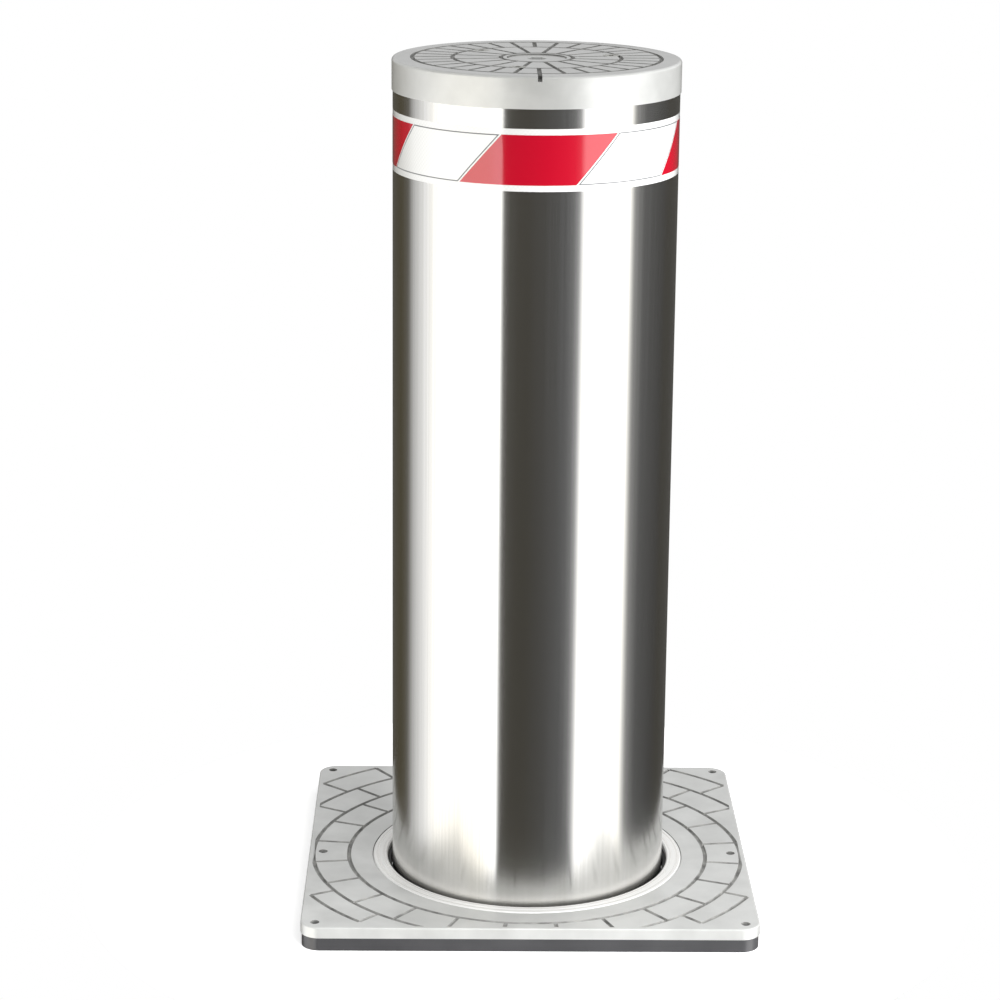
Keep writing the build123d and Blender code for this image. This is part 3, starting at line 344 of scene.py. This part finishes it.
def painted_finish(name, dark, light, rough_low, rough_high, peel_mm, coat=0.0):
    """Paint on steel: a faint orange peel, and a tone that drifts over a few centimetres."""
    material, tree, shader, place = start_finish(name, Coat_Weight=coat, Coat_Roughness=0.15)
    drift = node(tree, "ShaderNodeTexNoise", {"Vector": place, "Scale": per_mm(45), "Detail": 4.0})
    peel = node(tree, "ShaderNodeTexNoise", {"Vector": place, "Scale": per_mm(peel_mm), "Detail": 1.0})
    tone = node(tree, "ShaderNodeValToRGB", {"Fac": drift.outputs["Fac"]},
                stops=((NOISE_LOW, linear(dark)), (NOISE_HIGH, linear(light))))
    rough = node(tree, "ShaderNodeMapRange", {"Value": drift.outputs["Fac"], "To Min": rough_low,
                                              "To Max": rough_high})
    bump = node(tree, "ShaderNodeBump", {"Height": peel.outputs["Fac"], "Strength": 0.3,
                                         "Distance": 0.05 * MM})
    dress(tree, shader, tone.outputs["Color"], rough.outputs["Result"], bump.outputs["Normal"])
    return material


def metal_finish(name, dark, light, rough_low, rough_high, grain_mm, stretch=(1.0, 1.0, 1.0), depth_mm=0.02):
    """Bare metal: tool lines or grain whose tone and gloss vary together."""
    material, tree, shader, place = start_finish(name, Metallic=1.0)
    lay = node(tree, "ShaderNodeMapping", {"Vector": place, "Scale": [per_mm(grain_mm) / s for s in stretch]})
    grain = node(tree, "ShaderNodeTexNoise", {"Vector": lay.outputs["Vector"], "Scale": 1.0, "Detail": 3.0})
    tone = node(tree, "ShaderNodeValToRGB", {"Fac": grain.outputs["Fac"]},
                stops=((NOISE_LOW, linear(dark)), (NOISE_HIGH, linear(light))))
    rough = node(tree, "ShaderNodeMapRange", {"Value": grain.outputs["Fac"], "To Min": rough_low,
                                              "To Max": rough_high})
    bump = node(tree, "ShaderNodeBump", {"Height": grain.outputs["Fac"], "Strength": 0.3,
                                         "Distance": depth_mm * MM})
    dress(tree, shader, tone.outputs["Color"], rough.outputs["Result"], bump.outputs["Normal"])
    return material


def moulded_finish(name, dark, light, rough_low, rough_high, grain_mm, depth_mm=0.04, **uniform):
    """Moulded plastic or rubber: the fine even texture that the mould leaves."""
    material, tree, shader, place = start_finish(name, **uniform)
    grain = node(tree, "ShaderNodeTexNoise", {"Vector": place, "Scale": per_mm(grain_mm), "Detail": 2.0})
    drift = node(tree, "ShaderNodeTexNoise", {"Vector": place, "Scale": per_mm(30), "Detail": 3.0})
    tone = node(tree, "ShaderNodeValToRGB", {"Fac": drift.outputs["Fac"]},
                stops=((NOISE_LOW, linear(dark)), (NOISE_HIGH, linear(light))))
    rough = node(tree, "ShaderNodeMapRange", {"Value": grain.outputs["Fac"], "To Min": rough_low,
                                              "To Max": rough_high})
    bump = node(tree, "ShaderNodeBump", {"Height": grain.outputs["Fac"], "Strength": 0.3,
                                         "Distance": depth_mm * MM})
    dress(tree, shader, tone.outputs["Color"], rough.outputs["Result"], bump.outputs["Normal"])
    return material


def galvanised_steel():
    """Hot-dip galvanised steel: zinc crystals a centimetre across, each with its own grey."""
    material, tree, shader, place = start_finish("hot_dip_galvanised_steel", Metallic=0.7)
    crystals = node(tree, "ShaderNodeTexVoronoi", {"Vector": place, "Scale": per_mm(9), "Randomness": 1.0})
    tone = node(tree, "ShaderNodeValToRGB", {"Fac": crystals.outputs["Color"]},
                stops=((0.0, linear("A2A7A9")), (1.0, linear("B4B9BA"))))
    rough = node(tree, "ShaderNodeMapRange", {"Value": crystals.outputs["Color"], "To Min": 0.46,
                                              "To Max": 0.56})
    bump = node(tree, "ShaderNodeBump", {"Height": crystals.outputs["Distance"], "Strength": 0.15,
                                         "Distance": 0.1 * MM})
    dress(tree, shader, tone.outputs["Color"], rough.outputs["Result"], bump.outputs["Normal"])
    return material


def sheeting(name, hex_colour, darker):
    """Prismatic reflective sheeting: small cells sealed under a glossy film."""
    material, tree, shader, place = start_finish(name, Coat_Weight=1.0, Coat_Roughness=0.04, Coat_IOR=1.8)
    diamonds = node(tree, "ShaderNodeMapping",
                    {"Vector": unrolled(tree, place), "Rotation": (0.0, 0.0, math.pi / 4)})
    cells = node(tree, "ShaderNodeTexVoronoi", {"Vector": diamonds.outputs["Vector"], "Scale": per_mm(CELL),
                                                "Randomness": 0.0}, feature="DISTANCE_TO_EDGE",
                 voronoi_dimensions="2D")
    tone = node(tree, "ShaderNodeValToRGB", {"Fac": cells.outputs["Distance"]},
                stops=((0.02, linear(darker)), (0.10, linear(hex_colour))))
    rough = node(tree, "ShaderNodeMapRange", {"Value": cells.outputs["Distance"], "To Min": 0.14,
                                              "To Max": 0.07})
    bump = node(tree, "ShaderNodeBump", {"Height": cells.outputs["Distance"], "Strength": 0.05,
                                         "Distance": 0.03 * MM})
    dress(tree, shader, tone.outputs["Color"], rough.outputs["Result"], bump.outputs["Normal"])
    return material


def make_finishes(colours):
    """Every finish, by the record's material slot."""
    finishes = {
        "cast_aluminium": cast_aluminium(),
        "polished_stainless": polished_stainless(),
        "bright_bezel": bright_bezel(),
        "galvanised_steel": galvanised_steel(),
        "reflective_sheeting": sheeting("white_prismatic_sheeting", colours.white, "E2E3E2"),
    }
    # Satin black paint, brushed on: a soft sheen along the frame's edge over a faint peel.
    finishes["black_painted_steel"] = painted_finish(
        "satin_black_paint", "424244", "4A4A4C", 0.26, 0.34, 1.6, 0.4)
    # Enamel sprayed on cast parts: blue-grey and glossy, with a broad orange peel.
    finishes["machine_enamel"] = painted_finish(
        "machine_enamel", "3D5564", colours.enamel, 0.22, 0.34, 2.2, 0.3)
    # EPDM rubber moulded in a matt tool: near black, and dull from every side.
    finishes["black_rubber"] = moulded_finish("moulded_epdm_rubber", "141414", "1B1B1B", 0.50, 0.64, 0.9)
    # Cast nylon, uncoloured: cream, and a little light gets into it.
    finishes["nylon"] = moulded_finish(
        "natural_cast_nylon", "D8D2BF", "E2DDCC", 0.36, 0.46, 0.9, Subsurface_Weight=0.1)
    # Glass-filled nylon: dark grey with a dry, slightly rough skin.
    finishes["black_nylon"] = moulded_finish("glass_filled_nylon", "17181A", "1F2023", 0.40, 0.52, 0.7)
    # Grey ABS from a spark-eroded mould: pale, even and barely glossy.
    finishes["grey_abs"] = moulded_finish("moulded_grey_abs", "A3A5A5", "ACAEAE", 0.40, 0.50, 0.8)
    # Milled and ground steel kept in oil: dark silver with short level tool lines.
    finishes["machined_steel"] = metal_finish(
        "machined_oiled_steel", "7C7B79", "949391", 0.24, 0.34, 0.8, (6.0, 6.0, 1.0))
    # Clear zinc plate: pale silver with a faint yellow cloud.
    finishes["zinc_plated"] = metal_finish("bright_zinc_plate", "B4B5AF", "C8C8C0", 0.22, 0.32, 3.0)
    # Black oxide on alloy steel: almost black, with a dull metal glint.
    finishes["black_oxide"] = metal_finish("black_oxide_steel", "1A1A1B", "262627", 0.34, 0.46, 0.7)
    # Ground hard chrome: a near mirror with grinding lines round the rod.
    finishes["hard_chrome"] = metal_finish(
        "ground_hard_chrome", "C9CACD", "D6D7DA", 0.05, 0.10, 0.6, (20.0, 20.0, 1.0), 0.005)
    # Milled aluminium: light silver with lines left by the cutter in one direction.
    finishes["machined_aluminium"] = metal_finish(
        "milled_aluminium", "BFC0C2", "D0D1D3", 0.22, 0.32, 0.9, (8.0, 1.0, 1.0))
    # Stacked electrical sheets under varnish: brownish grey with a fine level line for each sheet.
    finishes["steel_laminations"] = metal_finish(
        "varnished_laminations", "4E4A47", "6B6662", 0.38, 0.52, 0.5, (60.0, 60.0, 1.0))
    # Turned brass: warm yellow with short level tool lines.
    finishes["brass"] = metal_finish("turned_brass", "B8923E", "CDA752", 0.20, 0.30, 0.6, (5.0, 5.0, 1.0))
    return finishes


def finish_for(slot):
    """The material made for a slot, found by the name kept on the scene."""
    return bpy.data.materials[bpy.context.scene["finish_" + slot]]


# ---- shaping helpers --------------------------------------------------------------------------------
def turned(profile):
    """Closed outline of (radius, height) points spun once round the column's axis."""
    bm = bmesh.new()
    corners = [bm.verts.new((COLUMN_X + radius, COLUMN_Y, height)) for radius, height in profile]
    edges = [bm.edges.new(pair) for pair in zip(corners, corners[1:] + corners[:1])]
    bmesh.ops.spin(bm, geom=corners + edges, cent=(COLUMN_X, COLUMN_Y, 0.0), axis=(0.0, 0.0, 1.0),
                   angle=math.tau, steps=SPIN_STEPS, use_merge=True)
    bmesh.ops.recalc_face_normals(bm, faces=bm.faces)
    return bm


def piece(bm, name, body, materials, replaces=()):
    """Makes the shape an object that rides on a body, takes a slot's finish and stands for CAD nodes."""
    for face in bm.faces:
        face.smooth = True
    for edge in bm.edges:
        edge.smooth = len(edge.link_faces) == 2 and edge.calc_face_angle() < SHARP
    mesh = bpy.data.meshes.new(name)
    bm.to_mesh(mesh)
    bm.free()
    for material in materials:
        mesh.materials.append(material)
    made = bpy.data.objects.new(name, mesh)
    bpy.context.scene.collection.objects.link(made)
    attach(made, body)
    if replaces:
        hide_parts(*replaces)
    return made


def sunk(face, low, high, is_round, recess):
    """Whether a face of a casting lies in a joint or a screw hole, below the top face and inside the rim."""
    middle = face.calc_center_median()
    sideways = middle - (low + high) / 2
    reach = sideways.xy.length if is_round else max(abs(sideways.x), abs(sideways.y))
    half = (high.x - low.x) / 2
    inside = reach < half - UNSHADED_RIM and sideways.xy.length < half * math.sqrt(2) - UNSHADED_CORNER
    return inside and high.z - recess < middle.z < high.z - UNSHADED_FACE


# ---- operators ------------------------------------------------------------------------------------
class BOLLARD_OT_finishes(bpy.types.Operator):
    """Make every finish and give each fixed part its own"""
    bl_idname = "bollard.finishes"
    bl_label = "Finishes"

    def execute(self, context):
        finishes = make_finishes(context.scene.bollard_colours)
        for slot, material in finishes.items():
            context.scene["finish_" + slot] = material.name
        for subpart in frame["record"]["subparts"]:
            shown = frame["nodes"][subpart["node"]]
            shown.data.materials.clear()
            shown.data.materials.append(finishes[subpart["material_slot"]])
        return {"FINISHED"}


class BOLLARD_OT_castings(bpy.types.Operator):
    """Copy the cast head, cover and frame with their curved faces smooth and their edges crisp"""
    bl_idname = "bollard.castings"
    bl_label = "Castings"

    def execute(self, context):
        # dark grey standing in for the shade in the joints and screw holes: painted shade
        joint_shade = painted_joint_shade()
        for name, body, slot, is_round, recess in CASTINGS:
            bm = bmesh.new()
            bm.from_mesh(frame["nodes"][name].data)
            bmesh.ops.remove_doubles(bm, verts=bm.verts, dist=WELD)
            low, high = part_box(name)
            for face in bm.faces:
                # faces in a joint or a screw hole take the painted joint shade
                face.material_index = 1 if sunk(face, low, high, is_round, recess) else 0
            made = piece(bm, "smooth_" + name, body, [finish_for(slot), joint_shade], [name])
            flats = made.modifiers.new("flat_faces_stay_flat", "WEIGHTED_NORMAL")
            flats.keep_sharp = True
        return {"FINISHED"}


class BOLLARD_OT_welds(bpy.types.Operator):
    """Run weld beads down the corners of the buried box and round its two pipe stubs"""
    bl_idname = "bollard.welds"
    bl_label = "Box welds"

    def execute(self, context):
        low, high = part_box("pit_box")
        bm = corner_bead(low, high.z - low.z)
        first = bm.faces[:]
        for corner in ((high.x, low.y), (low.x, high.y), (high.x, high.y)):
            copied = bmesh.ops.duplicate(bm, geom=first)
            verts = [item for item in copied["geom"] if isinstance(item, bmesh.types.BMVert)]
            bmesh.ops.translate(bm, verts=verts, vec=(corner[0] - low.x, corner[1] - low.y, 0))
        piece(bm, "corner_welds", "pit", [finish_for("galvanised_steel")])
        bm = bmesh.new()
        for stub in ("conduit_stub", "drain_stub"):
            stub_bead(bm, *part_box(stub), high.y)
        piece(bm, "stub_welds", "pit", [finish_for("galvanised_steel")])
        return {"FINISHED"}


def corner_bead(start, length):
    """One rippled bead up a corner, extruded ring by ring."""
    bm = bmesh.new()
    made = bmesh.ops.create_circle(bm, cap_ends=True, segments=BEAD_SIDES, radius=BEAD_R,
                                   matrix=Matrix.Translation(start))
    end = made["verts"][0].link_faces[0]
    steps = round(2 * length / BEAD_PITCH)
    for step in range(steps):
        grown = bmesh.ops.extrude_face_region(bm, geom=[end])
        ring = [item for item in grown["geom"] if isinstance(item, bmesh.types.BMVert)]
        end = next(item for item in grown["geom"] if isinstance(item, bmesh.types.BMFace))
        middle = start + Vector((0, 0, step * length / steps))
        width = BEAD_WAIST if step % 2 == 0 else 1 / BEAD_WAIST
        bmesh.ops.scale(bm, verts=ring, vec=(width, width, 1.0), space=Matrix.Translation(-middle))
        bmesh.ops.translate(bm, verts=ring, vec=(0, 0, length / steps))
    bmesh.ops.recalc_face_normals(bm, faces=bm.faces)
    return bm


def stub_bead(bm, low, high, wall):
    """One ring of weld where a pipe stub leaves the back wall."""
    axis = Vector(((low.x + high.x) / 2, wall, (low.z + high.z) / 2))
    edge = axis + Vector(((high.x - low.x) / 2, 0, 0))
    made = bmesh.ops.create_circle(bm, segments=BEAD_SIDES, radius=BEAD_R, matrix=Matrix.Translation(edge))
    ring = made["verts"]
    edges = list({edge for vert in ring for edge in vert.link_edges})
    bmesh.ops.spin(bm, geom=ring + edges, cent=axis, axis=(0.0, 1.0, 0.0), angle=math.tau, steps=BEAD_SPIN,
                   use_merge=True)
    bmesh.ops.recalc_face_normals(bm, faces=bm.faces)


class BOLLARD_OT_column(bpy.types.Operator):
    """Turn the polished steel column with its shallow recess for the sheeting"""
    bl_idname = "bollard.column"
    bl_label = "Column tube"

    def execute(self, context):
        inner = TUBE_R - context.scene.bollard_sizes.tube_wall
        recess = BAND_R - BAND_SEAT
        bm = turned((
            (inner, TUBE_LOW.z), (TUBE_R, TUBE_LOW.z), (TUBE_R, BAND_LOW.z), (recess, BAND_LOW.z),
            (recess, BAND_HIGH.z), (TUBE_R, BAND_HIGH.z), (TUBE_R, TUBE_HIGH.z), (inner, TUBE_HIGH.z)))
        piece(bm, "polished_column", "column", [finish_for("polished_stainless")],
              ["column_tube"])
        return {"FINISHED"}


class BOLLARD_OT_bezel(bpy.types.Operator):
    """Turn the bright bezel ring with its low flange and broken edges"""
    bl_idname = "bollard.bezel"
    bl_label = "Bezel ring"

    def execute(self, context):
        flange = (BEZEL_HIGH.x - BEZEL_LOW.x) / 2
        shoulder = BEZEL_LOW.z + BEZEL_FLANGE_THICK
        face = BEZEL_HIGH.z
        bm = turned((
            (BEZEL_FLANGE_INNER, BEZEL_LOW.z), (flange, BEZEL_LOW.z), (flange, shoulder),
            (BEZEL_OUTER, shoulder), (BEZEL_OUTER, face - BEZEL_BREAK), (BEZEL_OUTER - BEZEL_BREAK, face),
            (BEZEL_INNER + BEZEL_BREAK, face), (BEZEL_INNER, face - BEZEL_BREAK), (BEZEL_INNER, shoulder),
            (BEZEL_FLANGE_INNER, shoulder)))
        piece(bm, "turned_bezel", "pit", [finish_for("bright_bezel")], ["bezel_ring"])
        return {"FINISHED"}


class BOLLARD_OT_wiper(bpy.types.Operator):
    """Mould the rubber wiper with one lip above and one below"""
    bl_idname = "bollard.wiper"
    bl_label = "Wiper seal"

    def execute(self, context):
        flange = (WIPER_HIGH.x - WIPER_LOW.x) / 2
        shoulder = BEZEL_LOW.z + BEZEL_FLANGE_THICK
        foot = BEZEL_LOW.z
        bm = turned((
            (WIPER_LIP, WIPER_LOW.z), (WIPER_BACK, WIPER_LOW.z), (WIPER_BACK, foot), (flange, foot),
            (flange, shoulder), (WIPER_BACK, shoulder), (WIPER_BACK, WIPER_HIGH.z), (WIPER_LIP, WIPER_HIGH.z),
            (WIPER_LIP, WIPER_HIGH.z - WIPER_LIP_HEIGHT), (WIPER_WAIST, foot + WIPER_LIP_HEIGHT),
            (WIPER_WAIST, foot - WIPER_LIP_HEIGHT), (WIPER_LIP, WIPER_LOW.z + WIPER_LIP_HEIGHT)))
        piece(bm, "lipped_wiper", "pit", [finish_for("black_rubber")], ["wiper_seal"])
        return {"FINISHED"}


class BOLLARD_OT_sheeting(bpy.types.Operator):
    """Lay the leaning red and white panels round the reflective band"""
    bl_idname = "bollard.sheeting"
    bl_label = "Reflective panels"

    def execute(self, context):
        sizes = context.scene.bollard_sizes
        colours = context.scene.bollard_colours
        # Screen-printed ink: a thin grey line, duller than the film that it lies on.
        outline = moulded_finish("panel_outline_ink", "6E7072", "787A7C", 0.30, 0.40, 1.0)
        white = sheeting("white_panel_sheeting", colours.white, "E4E5E4")
        red = sheeting("red_prismatic_sheeting", colours.red, "B60022")
        period = math.tau * BAND_R / sizes.panel_pairs
        white_length = period - sizes.red_panel - 2 * sizes.panel_gap
        for index in range(sizes.panel_pairs):
            middle = index * period
            panel(f"red_panel_{index + 1}", middle, sizes.red_panel, sizes, [red, red])
            panel(f"white_panel_{index + 1}", middle + period / 2, white_length, sizes, [white, outline])
        return {"FINISHED"}


def panel(name, middle, length, sizes, materials):
    """One leaning panel, drawn flat, given its outline and thickness, then wrapped round the band."""
    height = BAND_HIGH.z - BAND_LOW.z - 2 * sizes.band_border
    bm = bmesh.new()
    bmesh.ops.create_grid(bm, x_segments=1, y_segments=1, size=0.5)
    lean = Matrix(((length, sizes.panel_lean, 0, 0), (0, height, 0, 0), (0, 0, 1, 0), (0, 0, 0, 1)))
    bmesh.ops.transform(bm, matrix=lean, verts=bm.verts)
    bmesh.ops.inset_region(bm, faces=bm.faces, thickness=sizes.panel_outline, use_even_offset=True,
                           use_boundary=True)
    inner = max(bm.faces, key=lambda face: face.calc_area())
    for face in bm.faces:
        face.material_index = 0 if face == inner else 1
    for step in range(1, PANEL_CUTS):
        at = -(length + sizes.panel_lean) / 2 + step * (length + sizes.panel_lean) / PANEL_CUTS
        bmesh.ops.bisect_plane(bm, geom=bm.verts[:] + bm.edges[:] + bm.faces[:], plane_co=(at, 0, 0),
                               plane_no=(1, 0, 0), dist=CUT_SNAP)
    raised = bmesh.ops.extrude_face_region(bm, geom=bm.faces[:])
    top = [item for item in raised["geom"] if isinstance(item, bmesh.types.BMVert)]
    bmesh.ops.translate(bm, verts=top, vec=(0, 0, sizes.sheet_thickness))
    middle_z = (BAND_LOW.z + BAND_HIGH.z) / 2
    for vert in bm.verts:
        bearing = (middle + vert.co.x) / BAND_R
        radius = BAND_R + vert.co.z
        vert.co = Vector((COLUMN_X + radius * math.sin(bearing), COLUMN_Y - radius * math.cos(bearing),
                          middle_z + vert.co.y))
    bmesh.ops.recalc_face_normals(bm, faces=bm.faces)
    return piece(bm, name, "column", materials)


class BOLLARD_OT_stage(bpy.types.Operator):
    """Lay the pale floor, set the soft studio light and place the camera"""
    bl_idname = "bollard.stage"
    bl_label = "Studio"

    def execute(self, context):
        lay_floor(context.scene.bollard_sizes)
        light_studio(context.scene)
        place_camera(context.scene)
        return {"FINISHED"}


def lay_floor(sizes):
    """Pale disc at pavement level, which the buried box goes down through."""
    bm = bmesh.new()
    bmesh.ops.create_circle(bm, cap_ends=True, segments=FLOOR_SEGMENTS, radius=sizes.floor_radius)
    raised = bmesh.ops.extrude_face_region(bm, geom=bm.faces[:])
    top = [item for item in raised["geom"] if isinstance(item, bmesh.types.BMVert)]
    bmesh.ops.translate(bm, verts=top, vec=(0, 0, sizes.floor_thickness))
    bmesh.ops.translate(bm, verts=bm.verts, vec=(0, 0, GROUND_Z - sizes.floor_thickness))
    bmesh.ops.recalc_face_normals(bm, faces=bm.faces)
    mesh = bpy.data.meshes.new("studio_floor")
    bm.to_mesh(mesh)
    bm.free()
    # White painted board: matt, and without a pattern that would show.
    mesh.materials.append(moulded_finish("studio_floor", "FCFCFC", "FEFEFE", 0.75, 0.85, 4.0,
                                         Emission_Color=grey(1.0), Emission_Strength=FLOOR_GLOW))
    floor = bpy.data.objects.new("studio_floor", mesh)
    bpy.context.scene.collection.objects.link(floor)
    floor.visible_glossy = False


def light_studio(scene):
    """Soft white dome with upright panels of light and shade round the column, and fill lights."""
    scene.view_settings.view_transform = "Standard"
    world = bpy.data.worlds.new("soft_studio")
    scene.world = world
    world.use_nodes = True
    tree = world.node_tree
    tree.nodes.clear()
    direction = node(tree, "ShaderNodeTexCoord").outputs["Generated"]
    parts = node(tree, "ShaderNodeSeparateXYZ", {"Vector": direction})
    ahead = node(tree, "ShaderNodeMath", {0: parts.outputs["Y"], 1: -1.0}, operation="MULTIPLY")
    bearing = node(tree, "ShaderNodeMath", {0: parts.outputs["X"], 1: ahead.outputs["Value"]},
                   operation="ARCTAN2")
    turn = node(tree, "ShaderNodeMapRange", {"Value": bearing.outputs["Value"], "From Min": -math.pi,
                                             "From Max": math.pi})
    stops = tuple(
        ((degrees + 180) / 360, (level, level * (1 - WARM_GREEN * warmth), level * (1 - warmth), 1.0))
        for degrees, level, warmth in STUDIO_PANELS)
    panels = node(tree, "ShaderNodeValToRGB", {"Fac": turn.outputs["Result"]}, stops=stops)
    side = node(tree, "ShaderNodeMapRange", {"Value": parts.outputs["X"], "From Min": -1.0, "From Max": 1.0,
                                             "To Min": DOME_LEFT, "To Max": DOME_RIGHT})
    front = node(tree, "ShaderNodeMath", {0: parts.outputs["Y"], 1: 0.0}, operation="MINIMUM")
    raised = node(tree, "ShaderNodeMath", {0: front.outputs["Value"], 1: FRONT_RAISE, 2: parts.outputs["Z"]},
                  operation="MULTIPLY_ADD")
    height = node(tree, "ShaderNodeMapRange", {"Value": raised.outputs["Value"], "From Min": DOME_START,
                                               "From Max": DOME_FULL}, interpolation_type="SMOOTHSTEP")
    low = node(tree, "ShaderNodeBackground", {"Color": panels.outputs["Color"], "Strength": 1.0})
    high = node(tree, "ShaderNodeBackground", {"Color": grey(1.0), "Strength": side.outputs["Result"]})
    seen = node(tree, "ShaderNodeBackground", {"Color": grey(1.0), "Strength": 1.0})
    around = node(tree, "ShaderNodeMixShader", {0: height.outputs["Result"], 1: low.outputs["Background"],
                                                2: high.outputs["Background"]})
    ray = node(tree, "ShaderNodeLightPath").outputs["Is Camera Ray"]
    chosen = node(tree, "ShaderNodeMixShader", {0: ray, 1: around.outputs["Shader"],
                                                2: seen.outputs["Background"]})
    node(tree, "ShaderNodeOutputWorld", {"Surface": chosen.outputs["Shader"]})
    for name, place, aim, size, watts, spread in FILL_LIGHTS:
        light = bpy.data.lights.new(name, "AREA")
        light.size = size
        light.energy = watts
        light.spread = math.radians(spread)
        fill = bpy.data.objects.new(name, light)
        fill.location = place
        fill.rotation_euler = (Vector(aim) - Vector(place)).to_track_quat("-Z", "Y").to_euler()
        fill.visible_glossy = False
        fill.visible_camera = False
        scene.collection.objects.link(fill)


def place_camera(scene):
    """Camera a little above the head, looking down at the cover, without shift or depth of field."""
    data = bpy.data.cameras.new("studio_camera")
    data.lens = CAMERA_LENS
    data.sensor_width = CAMERA_SENSOR
    camera = bpy.data.objects.new("studio_camera", data)
    scene.collection.objects.link(camera)
    turn = Matrix.Rotation(CAMERA_TURN, 4, "Z") @ Matrix.Rotation(math.pi / 2 - CAMERA_DOWN, 4, "X")
    place = Matrix.Translation((COLUMN_X - CAMERA_LEFT, COLUMN_Y - CAMERA_AHEAD, COVER_TOP + CAMERA_ABOVE))
    camera.matrix_world = place @ turn @ Matrix.Rotation(CAMERA_ROLL, 4, "Z")
    scene.camera = camera


class BOLLARD_PT_panel(bpy.types.Panel):
    """Sizes, colours and pieces of the bollard"""
    bl_idname = "BOLLARD_PT_panel"
    bl_label = "Retractable bollard"
    bl_space_type = "VIEW_3D"
    bl_region_type = "UI"
    bl_category = "Bollard"

    def draw(self, context):
        for group in (context.scene.bollard_sizes, context.scene.bollard_colours):
            for name in group.bl_rna.properties.keys():
                if name not in ("rna_type", "name"):
                    self.layout.prop(group, name)
        for operator in OPERATORS:
            self.layout.operator(operator.bl_idname)


OPERATORS = (BOLLARD_OT_finishes, BOLLARD_OT_castings, BOLLARD_OT_welds, BOLLARD_OT_bezel, BOLLARD_OT_wiper,
             BOLLARD_OT_column, BOLLARD_OT_sheeting, BOLLARD_OT_stage)
CLASSES = (BollardSizes, BollardColours, *OPERATORS, BOLLARD_PT_panel)


def register():
    """Registers every class and puts the sizes and colours on the scene."""
    for item in CLASSES:
        bpy.utils.register_class(item)
    bpy.types.Scene.bollard_sizes = bpy.props.PointerProperty(type=BollardSizes)
    bpy.types.Scene.bollard_colours = bpy.props.PointerProperty(type=BollardColours)


def unregister():
    """Takes the sizes, colours and classes away again."""
    del bpy.types.Scene.bollard_colours
    del bpy.types.Scene.bollard_sizes
    for item in reversed(CLASSES):
        bpy.utils.unregister_class(item)


def main():
    """Builds everything in order."""
    register()
    for operator in OPERATORS:
        group, name = operator.bl_idname.split(".")
        getattr(getattr(bpy.ops, group), name)()


if __name__ == "__main__":
    main()
